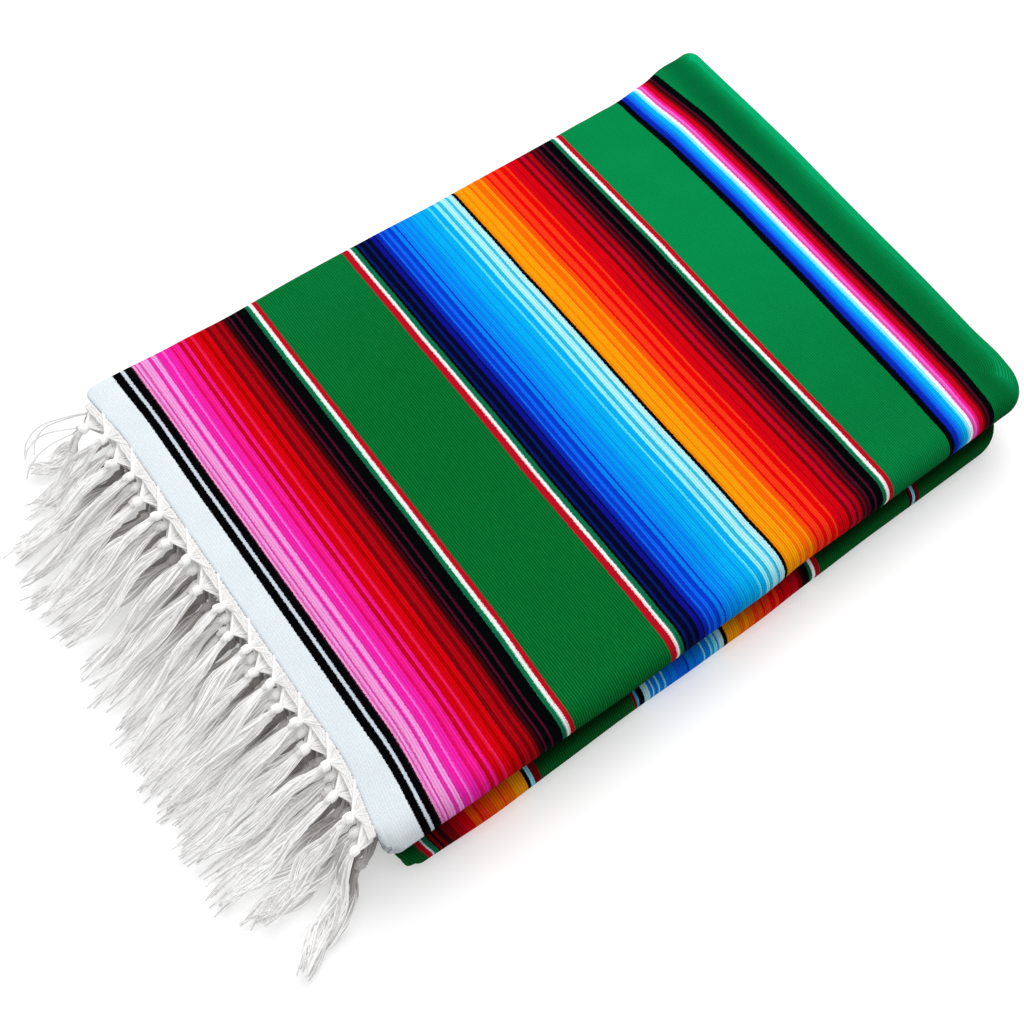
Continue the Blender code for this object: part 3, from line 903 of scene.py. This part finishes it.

# %% [markdown]
# The weft lies in ribs over the warp. A rib is a line of painted highlight on
# its crest and painted shade in its groove along the stripe, broken into
# floats, and the same relief drives the bump.

# %% Striped cloth
FLOAT_LENGTH = 0.0060
RIB_WANDER = 0.0016
RIB_SHARPNESS = 1.4
RELIEF_MIDDLE = 0.42
RIB_SHADING = 0.80
FAR_RIB_LOSS = 0.42
FUZZ_TONE = 0.34
PATCH_TONE = 0.14
RIB_HEIGHT = 0.9
FUZZ_HEIGHT = 0.45
NEAR_RIBS = Ease(low=-0.100, high=-0.190, first=1.0, last=1.25)


def rib_relief(recipe, warp, weft, slow):
    """The height of the ribs and their floats at a place, from 0 to about 1.5."""
    rib_count = (warp + (slow - 0.5) * RIB_WANDER) / RIB_PITCH
    across_rib = rib_count.fraction() * 2.0 - 1.0
    rib_line = (1.0 - across_rib.size()).power(RIB_SHARPNESS)
    rib_grid = recipe.node("ShaderNodeCombineXYZ", None, {0: rib_count, 1: weft / FLOAT_LENGTH})
    floats = recipe.clouds(rib_grid, 1.0, 1.0)
    return rib_line * (0.45 + 1.1 * floats)


def woven_finish():
    """Weft stripes with a fine rib, drawn along the cloth's own warp and weft lengths."""
    recipe = Recipe("striped_weave")
    weave = recipe.node("ShaderNodeUVMap", {"uv_map": "weave"})
    warp = recipe.node("ShaderNodeSeparateXYZ", None, {0: weave})
    weft = warp.also("Y")
    spot = recipe.node("ShaderNodeTexCoord", None, None, 3)
    height = recipe.node("ShaderNodeSeparateXYZ", None, {0: spot}).also("Z")
    is_upper = height.above(LOWER_HEIGHT)
    slow = recipe.clouds(weave, 9.0, 1.0)
    patch = recipe.clouds(weave, 40.0, 2.0)
    fuzz = recipe.clouds(weave, 900.0, 2.0)

    place = stripe_place(recipe, weave, warp, weft, stripe_bend(warp, weft, is_upper), slow) * 1000.0
    top_colour, top_ribs = striped(recipe, place, top_stripes)
    lower_colour, lower_ribs = striped(recipe, place, lower_stripes)
    colour = recipe.blend(is_upper, lower_colour, top_colour)
    ribs = lower_ribs + (top_ribs - lower_ribs) * is_upper
    on_ground = is_upper * ribs.above(ON_GROUND)
    far_share = (warp.eased(FAR_ALONG) * weft.eased(FAR_ACROSS) + weft.eased(FAR_EDGE)) * on_ground
    colour = lit_and_worn_ground(recipe, colour, far_share, ridge(warp, weft, patch) * on_ground)

    relief = rib_relief(recipe, warp, weft, slow)
    # Painted highlight on the ribs' crests and painted shade in their grooves.
    depth = (relief - RELIEF_MIDDLE) * ribs * (RIB_SHADING - FAR_RIB_LOSS * far_share) * weft.eased(NEAR_RIBS)
    tone = 1.0 + depth + (fuzz - 0.5) * FUZZ_TONE + (patch - 0.5) * PATCH_TONE
    # Painted shade: the sides by height and the valley before the ridge.
    light = side_light(height, ribs) * valley_light(warp, weft, on_ground)
    raised = relief * ribs * RIB_HEIGHT + fuzz * FUZZ_HEIGHT
    bump = recipe.node("ShaderNodeBump", None, {"Strength": 0.55, "Distance": 0.0006, "Height": raised})
    return recipe.finish(Base_Color=recipe.shade(colour, tone * light), Roughness=0.95,
                         Specular_IOR_Level=0.01, Normal=bump)


cloth.data.materials.append(woven_finish())
print("finish:", cloth.data.materials[0].name)

# %% [markdown]
# ## The fringe
# Each layer of the upper package ends in a row of knotted tassels. The warp
# ends between two tassels run together as a web of threads into a knot, and
# hang on as a bundle that splits into a few pointed locks. The rows' knots
# take turns along the edge, so that they show between each other.

# %% Places of the tassels
PITCH = 0.0336
FRINGE_CENTRE_Y = -0.0050
FIRST_FULL = 4   # the webs of the rows from this one up are made in full
FLOOR_GAP = 0.0008
HEAP_STEP = 0.0029
KNOT_OUT_SHIFTED = 0.0150
KNOT_OUT_PLAIN = 0.0105
MIDDLE_SLIDE = 0.0115
MIDDLE_SLIDE_Y = -0.004
MIDDLE_SLIDE_REACH = 0.052

FringeRow = namedtuple("FringeRow", "index z knot_out rest centres")


def gather(y):
    """The rows' knots have slid a little towards the near side in the middle."""
    return y - MIDDLE_SLIDE * math.exp(-((y - MIDDLE_SLIDE_Y) / MIDDLE_SLIDE_REACH) ** 2)


def fringe_rows():
    """One row for each layer that ends at the fringe edge, from the lowest up."""
    layer = UPPER_HEIGHT / LAYERS
    rows = []
    for i in range(LAYERS):
        shifted = i % 2 == 0
        first = -1 if shifted and i >= FIRST_FULL else 0
        phase = -0.5 if shifted else 0.0
        centres = [gather(FRINGE_CENTRE_Y + (4.5 - k + phase) * PITCH) for k in range(first, 10)]
        knot_out = KNOT_OUT_SHIFTED if shifted else KNOT_OUT_PLAIN
        rest = 2.0 * FLOOR_GAP + HEAP_STEP * (i // 2)
        rows.append(FringeRow(i, LOWER_HEIGHT + (i + 0.5) * layer, knot_out, rest, centres))
    return rows


rows = fringe_rows()
print("tassels:", sum(len(row.centres) for row in rows))

# %% [markdown]
# A tassel leaves the edge at its layer's height and hangs down to the floor,
# or to the rows that lie there already. A short table says how much of that
# height is left at each distance out, and the same function that settles the
# cloth moves the fringe's points, so the two stay together.

# %% Fall of the fringe
Drop = namedtuple("Drop", "out height_left")
DROPS = (Drop(0.0125, 1.0), Drop(0.040, 0.74), Drop(0.070, 0.24), Drop(0.104, 0.0))
SOFTENING = (-0.009, -0.003, 0.003, 0.009)


def height_left(out):
    """The share of its height that a yarn still has at a distance out from the edge."""
    if out <= DROPS[0].out:
        return 1.0
    for a, b in zip(DROPS, DROPS[1:]):
        if out <= b.out:
            return a.height_left + (b.height_left - a.height_left) * (out - a.out) / (b.out - a.out)
    return 0.0


def soft_height(out):
    """The same share, averaged over a short run so that the fall has no corners."""
    return sum(height_left(out + shift) for shift in SOFTENING) / len(SOFTENING)


def lay(out, y, z, floor_z):
    """Place a fringe point: settle it, fan the rows' ends apart and keep it off the floor."""
    x = FRINGE_EDGE_X - out
    place = settle(x, y, z)
    if out > FAN_START:
        to_far = smooth(y, 0.120, 0.180)
        to_near = smooth(-y, 0.140, 0.180)
        place.y += (FAR_FAN * to_far - NEAR_FAN * to_near) * (out - FAN_START)
        place.x += (FAR_SHORTER * to_far + NEAR_SHORTER * to_near) * (out - FAN_START)
    place.z = max(place.z, floor_z)
    return place


print("height left 50 mm out:", round(soft_height(0.050), 3))

# %% [markdown]
# Yarns are curves with a round bevel, the easiest way to make a long thin
# thing that tapers, and all those of a row are turned into one mesh. Each ring
# of a yarn also gets a tone, a painted shade by which yarns deep in the fringe
# are darker.

# %% Yarn curves
Yarn = namedtuple("Yarn", "points radii tones")
YARN_RADIUS = 0.00046


def even_yarn(points, radius, tone):
    """A yarn of one thickness and one tone."""
    return Yarn(points, [radius] * len(points), [tone] * len(points))


def yarns_object(name, yarns):
    """All the yarns of a row as one mesh of tapering tubes, with each ring's tone, which carries painted
    shade, as an attribute.

    The mesh holds the two closing rings of every yarn first, and then all their rings in order.
    """
    curve = bpy.data.curves.new(name, "CURVE")
    curve.dimensions = "3D"
    curve.bevel_depth = 1.0
    curve.bevel_resolution = 1
    curve.use_fill_caps = True
    for yarn in yarns:
        spline = curve.splines.new("POLY")
        spline.points.add(len(yarn.points) - 1)
        for point, place, radius in zip(spline.points, yarn.points, yarn.radii):
            point.co = (*place, 1.0)
            point.radius = radius
    bevelled = bpy.data.objects.new(name + "_curve", curve)
    bpy.context.scene.collection.objects.link(bevelled)
    evaluated = bevelled.evaluated_get(bpy.context.evaluated_depsgraph_get())
    mesh = bpy.data.meshes.new_from_object(evaluated)
    mesh.name = name
    bpy.data.objects.remove(bevelled, do_unlink=True)
    ring_tones = [tone for yarn in yarns for tone in (yarn.tones[-1], yarn.tones[0])]
    ring_tones += [tone for yarn in yarns for tone in yarn.tones]
    sides = len(mesh.vertices) // len(ring_tones)
    tones = mesh.attributes.new("tone", "FLOAT", "POINT")
    tones.data.foreach_set("value", [tone for tone in ring_tones for _ in range(sides)])
    made = bpy.data.objects.new(name, mesh)
    bpy.context.scene.collection.objects.link(made)
    mesh.shade_smooth()
    return made


print("yarn", 2000 * YARN_RADIUS, "mm thick")

# %% [markdown]
# A tassel is two, three or four locks side by side. A lock is a soft core with
# yarns lying round it, all turning a little the same way. It is narrow below
# the knot, full in the middle and ends in a point, and one yarn in eight
# strays. The locks part below the knot and draw together again at their tips.

# %% Locks
TASSEL_POINTS = 13
TASSEL_LENGTH = 0.094
KNOT_TO_LOCK = 0.0025
LOCK_WAVES = 7.5
CORNER_EARLY = 0.020
CORE_SHARE = 0.86
FLATNESS = 0.85
YARNS_IN_LOCK = (6, 6, 7, 7, 9, 9, 14, 14)
STRAY_SHARE = 0.12
STRAY_REACH = 0.0045
TIDY_REACH = 0.0005
YARN_WAVE = 0.0007
# Painted shade of each row, from the lowest up: the lower rows lie under the ones above.
ROW_SHADES = (0.34, 0.40, 0.46, 0.54, 0.70, 0.80, 0.96, 1.00)
# Painted shade of a lock's core among its yarns.
CORE_SHADE = 0.66
TIP_GATHER = 0.70
RUN_SHARES = [step / (TASSEL_POINTS - 1) for step in range(TASSEL_POINTS)]
Tassel = namedtuple("Tassel", "row y lean spread")
Lock = namedtuple("Lock", "radius place length wave sway lift twist")


def lock_radius(lock, t):
    """A lock's radius at a share t of its run."""
    return lock.radius * (0.55 + 0.45 * smooth(t, 0.0, 0.20) - 0.80 * smooth(t, 0.42, 1.0))


def lock_course(tassel, lock, t):
    """The middle of a lock at a share t of its run: how far out, where across, how high."""
    run = TASSEL_LENGTH * lock.length * t
    out = tassel.row.knot_out + KNOT_TO_LOCK + run
    opened = smooth(t, -0.10, 0.50) - TIP_GATHER * smooth(t, 0.45, 1.0)
    side = lock.place * tassel.spread * opened + tassel.lean * run
    side += lock.sway * math.sin(lock.wave + LOCK_WAVES * t) * smooth(t, 0.0, 0.30)
    early = CORNER_EARLY * smooth(abs(tassel.y), 0.120, 0.170) * smooth(t, 0.0, 0.25)
    rest = tassel.row.rest
    z = rest + (tassel.row.z - rest) * soft_height(out + early)
    return out, tassel.y + side, z + lock.lift * math.sin(math.pi * t)


def round_yarn(tassel, lock, angle, tones, chance):
    """One yarn of a lock, which turns round the lock's core from an angle."""
    reach = STRAY_REACH if chance.random() < STRAY_SHARE else TIDY_REACH
    stray = chance.uniform(-reach, reach)
    own_length = chance.uniform(0.88, 1.0)
    own_wave = chance.uniform(0.0, 6.28)
    own_pace = chance.uniform(10, 20)
    radius = YARN_RADIUS * chance.uniform(0.8, 1.2)
    fullness = chance.uniform(0.84, 1.16)
    own_tone = chance.uniform(0.74, 1.12)
    points, radii = [], []
    for share in RUN_SHARES:
        t = own_length * share
        out, y, z = lock_course(tassel, lock, t)
        ring = fullness * lock_radius(lock, t)
        turn = angle + lock.twist * t
        side = ring * math.cos(turn) + stray * smooth(t, 0.35, 1.0)
        side += YARN_WAVE * math.sin(own_wave + own_pace * t)
        rise = FLATNESS * ring * math.sin(turn)
        points.append(lay(out, y + side, z + rise, 1.3 * radius + FLOOR_GAP))
        radii.append(radius * (1.0 - 0.65 * smooth(share, 0.70, 1.0)))
    return Yarn(points, radii, [own_tone * tone for tone in tones])


def lock_yarns(tassel, lock, chance):
    """One lock: its core and the yarns round it."""
    # A lock carries its row's painted shade at its root and grows lighter towards its tip.
    root_shade = ROW_SHADES[tassel.row.index]
    tones = [root_shade + (1.0 - root_shade) * smooth(t, 0.08, 0.50) for t in RUN_SHARES]
    core, core_radii = [], []
    for t in RUN_SHARES:
        out, y, z = lock_course(tassel, lock, t)
        core_radii.append(CORE_SHARE * lock_radius(lock, t))
        core.append(lay(out, y, z, core_radii[-1] + FLOOR_GAP))
    yarns = [Yarn(core, core_radii, [CORE_SHADE * tone for tone in tones])]
    count = YARNS_IN_LOCK[tassel.row.index]
    for number in range(count):
        angle = 2.0 * math.pi * (number + chance.uniform(-0.35, 0.35)) / count
        yarns.append(round_yarn(tassel, lock, angle, tones, chance))
    return yarns


print("yarns in a lock, from the lowest row up:", YARNS_IN_LOCK)

# %% [markdown]
# Each tassel draws one of four plans for its locks, and a lean and spread of
# its own. Where a row's knots have slid along the edge, its tassels lean back,
# so their tips stay in place.

# %% Tassels
MIDDLE_LEAN = 0.12
MIDDLE_LEAN_Y = -0.010
MIDDLE_LEAN_REACH = 0.055
SLIDE_RETURN = 0.85
OWN_LEAN = 0.09
SPREADS = (0.0026, 0.0042)
ROW_SLIDES = (0.0020, -0.0020, -0.0060, 0.0060, 0.0055, -0.0055, 0.0, 0.0)

LockPlan = namedtuple("LockPlan", "radius places")
LOCK_PLANS = (
    LockPlan(radius=0.0026, places=(-0.62, 0.66)),
    LockPlan(radius=0.0021, places=(-1.00, 0.05, 1.00)),
    LockPlan(radius=0.0022, places=(-0.85, 0.20, 1.10)),
    LockPlan(radius=0.0019, places=(-1.30, -0.40, 0.45, 1.25)),
)


def tassel_yarns(row, y, chance):
    """The bundle below a knot."""
    yarns = []
    in_middle = math.exp(-((y - MIDDLE_LEAN_Y) / MIDDLE_LEAN_REACH) ** 2)
    lean = chance.uniform(-OWN_LEAN, OWN_LEAN) - MIDDLE_LEAN * in_middle
    lean -= SLIDE_RETURN * ROW_SLIDES[row.index] / TASSEL_LENGTH
    tassel = Tassel(row, y, lean, spread=chance.uniform(*SPREADS))
    plan = chance.choice(LOCK_PLANS)
    for place in plan.places:
        lock = Lock(radius=plan.radius * chance.uniform(0.85, 1.1), place=place + chance.uniform(-0.12, 0.12),
                    length=chance.uniform(0.84, 1.00), wave=chance.uniform(0.0, 6.28),
                    sway=chance.uniform(0.0010, 0.0026), lift=chance.uniform(-0.0008, 0.0014),
                    twist=chance.uniform(-1.6, 1.6))
        yarns += lock_yarns(tassel, lock, chance)
    return yarns


print("locks to a tassel:", [len(plan.places) for plan in LOCK_PLANS])

# %% [markdown]
# The knot is a round bulge with a few strands laid side by side round it. At
# this size a few strands read as a winding, and each is one more yarn.

# %% Knots
LOW_POINT = 0.001
KNOT_TURNS = 1.45
KNOT_LENGTH = 0.0086
KNOT_RADIUS = 0.0025
KNOT_STRANDS = 4
KNOT_POINTS = 18
STRAND_STEP = 0.0011
STRAND_SLANT = 0.0030
STRAND_RADIUS = 0.00090
KNOT_PINCH = 3.15e4
KNOT_CORE_SHARE = 1.15
# Painted shade of the knot's core under its strands.
KNOT_CORE_SHADE = 0.85
CORE_RADII = (0.0014, 0.0020, 0.0027, 0.0029, 0.0027, 0.0022, 0.0018)


def knot_yarns(row, y, chance):
    """A bulge with strands wound side by side round it."""
    yarns = []
    start = chance.uniform(0.0, 6.28)
    tilt = chance.uniform(-0.25, 0.25)
    size = chance.uniform(0.9, 1.12)
    for strand in range(KNOT_STRANDS):
        points = []
        for step in range(KNOT_POINTS):
            t = step / (KNOT_POINTS - 1)
            angle = start + KNOT_TURNS * 2.0 * math.pi * t
            along = (strand - 0.5 * (KNOT_STRANDS - 1)) * STRAND_STEP + (t - 0.5) * STRAND_SLANT
            tuck = 0.45 + 0.55 * math.sin(math.pi * (0.08 + 0.84 * t)) ** 0.5
            ring = size * KNOT_RADIUS * tuck * (1.0 - KNOT_PINCH * along * along)
            side = ring * math.cos(angle) + tilt * along
            points.append(lay(row.knot_out + along, y + side, row.z + ring * math.sin(angle), LOW_POINT))
        yarns.append(even_yarn(points, STRAND_RADIUS, ROW_SHADES[row.index]))
    core = []
    for step in range(len(CORE_RADII)):
        along = (step / (len(CORE_RADII) - 1) - 0.5) * KNOT_CORE_SHARE * KNOT_LENGTH
        core.append(lay(row.knot_out + along, y, row.z, LOW_POINT))
    core_radii = [size * radius for radius in CORE_RADII]
    yarns.append(Yarn(core, core_radii, [KNOT_CORE_SHADE * ROW_SHADES[row.index]] * len(core)))
    return yarns


print("knot", 1000 * KNOT_LENGTH, "mm long, with", KNOT_STRANDS, "strands round it")

# %% [markdown]
# The web is a fan of threads from a layer's end to each knot, its far side
# gathered into a thicker stem. On the upper rows, fine yarns lie across its
# start. A layer that ends further in has a web that starts further out.

# %% Web
WEB_THREADS = 24
LOWER_WEB_THREADS = 11
WEB_STEPS = 5
WEB_RISE = 0.0007
THREAD_SAG = 0.0010
THREAD_TUCKS = (0.0008, 0.0020)
THREAD_BOWS = (0.0008, 0.0026)
THREAD_STRAY = 0.0002
KNOT_ENTRY = 0.0016
STEM_YARNS = 6
STEM_STEPS = 6
STEM_WIDTH = 0.0009
STEM_TWIST = 2.2
STEM_TUCK = 0.0010
BINDING_RADIUS = 0.00062
HEM_YARNS = 5
HEM_POINTS = 90
HEM_STEP = 0.00095
HEM_START = 0.0002
HEM_FAR_MARGIN = 0.0120
HEM_MARGINS = 0.0260
HEM_WAVE = 0.0003
HEM_WAVES = 900.0


def web_thread(row, y, base, share, tip_out, web_start, chance):
    """One thread from the start of the web at base into the knot at y."""
    end = y + KNOT_ENTRY * (1.0 - 2.0 * share)
    radius = YARN_RADIUS * chance.uniform(0.85, 1.25)
    sag = chance.uniform(0.0, THREAD_SAG)
    start = web_start - chance.uniform(*THREAD_TUCKS)
    bow = chance.uniform(*THREAD_BOWS) * (1.0 - 2.0 * share)
    points = []
    for step in range(WEB_STEPS + 1):
        t = step / WEB_STEPS
        here = base + (end - base) * t + bow * math.sin(math.pi * t)
        z = row.z + WEB_RISE - sag * math.sin(math.pi * t) + chance.uniform(-THREAD_STRAY, THREAD_STRAY)
        points.append(lay(start + (tip_out - start) * t, here, z, LOW_POINT))
    # A thread's tone varies at random and is kept under white as painted shade among the threads, times its
    # row's painted shade.
    return even_yarn(points, radius, chance.uniform(0.72, 0.94) * ROW_SHADES[row.index])


def stem_yarn(row, y, far_base, tip_out, web_start, angle):
    """One yarn of the stem, which turns round the others on its way to the knot."""
    points = []
    start = web_start - STEM_TUCK
    for step in range(STEM_STEPS + 1):
        t = step / STEM_STEPS
        wide = STEM_WIDTH * (1.0 - 0.25 * math.sin(math.pi * t))
        here = far_base + (y - far_base) * t + wide * math.cos(angle + STEM_TWIST * t)
        z = row.z + STEM_WIDTH + wide * math.sin(angle + STEM_TWIST * t)
        points.append(lay(start + (tip_out + STEM_TUCK - start) * t, here, z, LOW_POINT))
    return even_yarn(points, BINDING_RADIUS, 0.97 * ROW_SHADES[row.index])


def web_yarns(row, web_start, y, far_base, near_base, chance):
    """The warp ends that run together into one knot, and the stem at their far side."""
    yarns = []
    tip_out = row.knot_out - 0.40 * KNOT_LENGTH
    threads = WEB_THREADS if row.index >= FIRST_FULL else LOWER_WEB_THREADS
    for thread in range(threads):
        share = (thread + chance.uniform(0.1, 0.9)) / threads
        base = far_base + (near_base - far_base) * share
        yarns.append(web_thread(row, y, base, share, tip_out, web_start, chance))
    for number in range(STEM_YARNS):
        yarns.append(stem_yarn(row, y, far_base, tip_out, web_start, 2.0 * math.pi * number / STEM_YARNS))
    return yarns


def hem_yarns(row, web_start):
    """Fine yarns laid side by side along the start of a row's webs, which bind them."""
    yarns = []
    for number in range(HEM_YARNS):
        points = []
        for step in range(HEM_POINTS):
            y = HALF_WIDTH - HEM_FAR_MARGIN - step * (2.0 * HALF_WIDTH - HEM_MARGINS) / (HEM_POINTS - 1)
            wave = HEM_WAVE * math.sin(HEM_WAVES * y + 2.0 * number)
            out = web_start + HEM_START + HEM_STEP * number + wave
            points.append(lay(out, y, row.z + 0.0004 - 0.00012 * number, LOW_POINT))
        # The hem yarns are kept under white as painted shade, every other one a little darker.
        yarns.append(even_yarn(points, BINDING_RADIUS, (0.88 - 0.08 * (number % 2)) * ROW_SHADES[row.index]))
    return yarns


print("threads to a web:", WEB_THREADS, "and a stem of", STEM_YARNS)

# %% [markdown]
# A few yarns have come out of their knots at the far corner. Each hangs in an
# arch of its own, so these four are placed one by one.

# %% Loose yarns
Loose = namedtuple("Loose", "y z reach bend")
LOOSE_YARNS = (
    Loose(y=0.1755, z=0.046, reach=0.049, bend=0.0265),
    Loose(y=0.1752, z=0.045, reach=0.043, bend=0.0240),
    Loose(y=0.1705, z=0.034, reach=0.050, bend=0.0290),
    Loose(y=0.1700, z=0.040, reach=0.056, bend=0.0150),
)
LOOSE_THICKNESS = 1.3
LOOSE_TONE = 0.88
LOOSE_START = 0.0100
LOOSE_RIPPLE = 0.0008


def loose_yarns():
    """Four yarns that hang loose at the far corner, each in an arch of its own."""
    yarns = []
    for loose in LOOSE_YARNS:
        points = []
        for step in range(TASSEL_POINTS):
            t = step / (TASSEL_POINTS - 1)
            x = FRINGE_EDGE_X - LOOSE_START - loose.reach * t
            ripple = LOOSE_RIPPLE * math.sin(9.0 * t + 40.0 * loose.reach)
            y = loose.y + loose.bend * (1.0 - (1.0 - t) ** 2) + ripple
            z = 2.0 * FLOOR_GAP + loose.z * (1.0 - t) ** 0.6
            points.append(Vector((x, y, z)) - MIDDLE)
        yarns.append(even_yarn(points, LOOSE_THICKNESS * YARN_RADIUS, LOOSE_TONE))
    return yarns


print("loose yarns:", len(LOOSE_YARNS))

# %% [markdown]
# Now each row is put together. It has its own seed, so a change to one row
# leaves the draws of the others as they were.

# %% Rows of the fringe
SEED = 23
TOP_PAIR = 6
FAR_LIMIT = HALF_WIDTH - 0.010
NEAR_LIMIT = -HALF_WIDTH + 0.016
WEB_PARTING = 0.0010
ROW_JITTER = 0.0020


def fringe_row(row, chance):
    """Every yarn of one row: its hem, webs, knots, tassels and loose yarns."""
    yarns = []
    web_start = PAIR_STEP[row.index // 2]
    centres = row.centres
    if row.index >= FIRST_FULL:
        yarns += hem_yarns(row, web_start)
    for number, y in enumerate(centres):
        jitter = chance.uniform(-ROW_JITTER, ROW_JITTER) if row.index < TOP_PAIR else 0.0
        y += ROW_SLIDES[row.index] + jitter
        far_base = 0.5 * (y + centres[number - 1]) if number else min(y + 0.5 * PITCH, FAR_LIMIT)
        far_base = min(far_base - WEB_PARTING, FAR_LIMIT)
        last = number == len(centres) - 1
        near_base = max(y - 0.5 * PITCH, NEAR_LIMIT) if last else 0.5 * (y + centres[number + 1])
        yarns += web_yarns(row, web_start, y, far_base, near_base, chance)
        yarns += knot_yarns(row, y, chance)
        yarns += tassel_yarns(row, y, chance)
    if row.index == TOP_PAIR:
        yarns += loose_yarns()
    return yarns_object("fringe_" + str(LAYERS - row.index), yarns)


fringe_pieces = []
for row in rows:
    piece = fringe_row(row, random.Random(SEED + row.index))
    fringe_pieces.append(piece)
    print(piece.name, "triangles", sum(len(p.vertices) - 2 for p in piece.data.polygons))

# %% [markdown]
# The fringe is undyed cotton: white, a little greyer from yarn to yarn.
# Stretching a noise along the yarns' run gives fine streaks without any UVs.
# Light passes through loose cotton, and a faint glow of painted light stands in
# for that and lifts the yarns out of their shade; it fades with their painted
# shade. Yarns that lie deep blend towards a brown, which is painted shade.

# %% Cotton finish
COTTON_PAINTED_GLOW = 0.24
YARN_STREAKS = (60.0, 900.0, 900.0)
STREAK_GREY = "E8E7E6"
CLEAN_WHITE = "FCFDFE"
# The colour of the painted shade on yarns that lie deep.
SHADE_BROWN = "54443A"


def cotton_finish():
    """Soft streaky cotton with painted shade where a yarn's tone says that it lies deep, and a glow of
    painted light.
    """
    recipe = Recipe("fringe_yarn")
    spot = recipe.node("ShaderNodeTexCoord", None, None, 3)
    run = recipe.node("ShaderNodeMapping", None, {"Vector": spot, "Scale": YARN_STREAKS})
    streak = recipe.clouds(run, 1.0, 2.0)
    cloud = recipe.clouds(spot, 55.0, 1.0)
    streaks = (streak * 1.5 - 0.45) * 0.75 + cloud * 0.25
    cotton_white = recipe.blend(streaks, (*dye(STREAK_GREY), 1.0), (*dye(CLEAN_WHITE), 1.0))
    tone = recipe.node("ShaderNodeAttribute", {"attribute_name": "tone"}, None, 2)
    colour = recipe.blend(tone, (*dye(SHADE_BROWN), 1.0), cotton_white)
    # A glow of painted light, fading with the yarns' painted shade.
    glow = recipe.shade(cotton_white, tone * tone)
    bump = recipe.node("ShaderNodeBump", None, {"Strength": 0.4, "Distance": 0.0003, "Height": streak})
    return recipe.finish(Base_Color=colour, Roughness=0.9, Specular_IOR_Level=0.10, Sheen_Weight=0.15,
                         Normal=bump, Emission_Color=glow, Emission_Strength=COTTON_PAINTED_GLOW)


cotton = cotton_finish()
for piece in fringe_pieces:
    piece.data.materials.clear()
    piece.data.materials.append(cotton)
print("finish:", cotton.name)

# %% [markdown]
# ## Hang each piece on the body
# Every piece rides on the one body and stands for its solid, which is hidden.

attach(cloth, "root")
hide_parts("folded_cloth")
for number, piece in enumerate(fringe_pieces):
    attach(piece, "root")
    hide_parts("fringe_row_" + str(LAYERS - number))
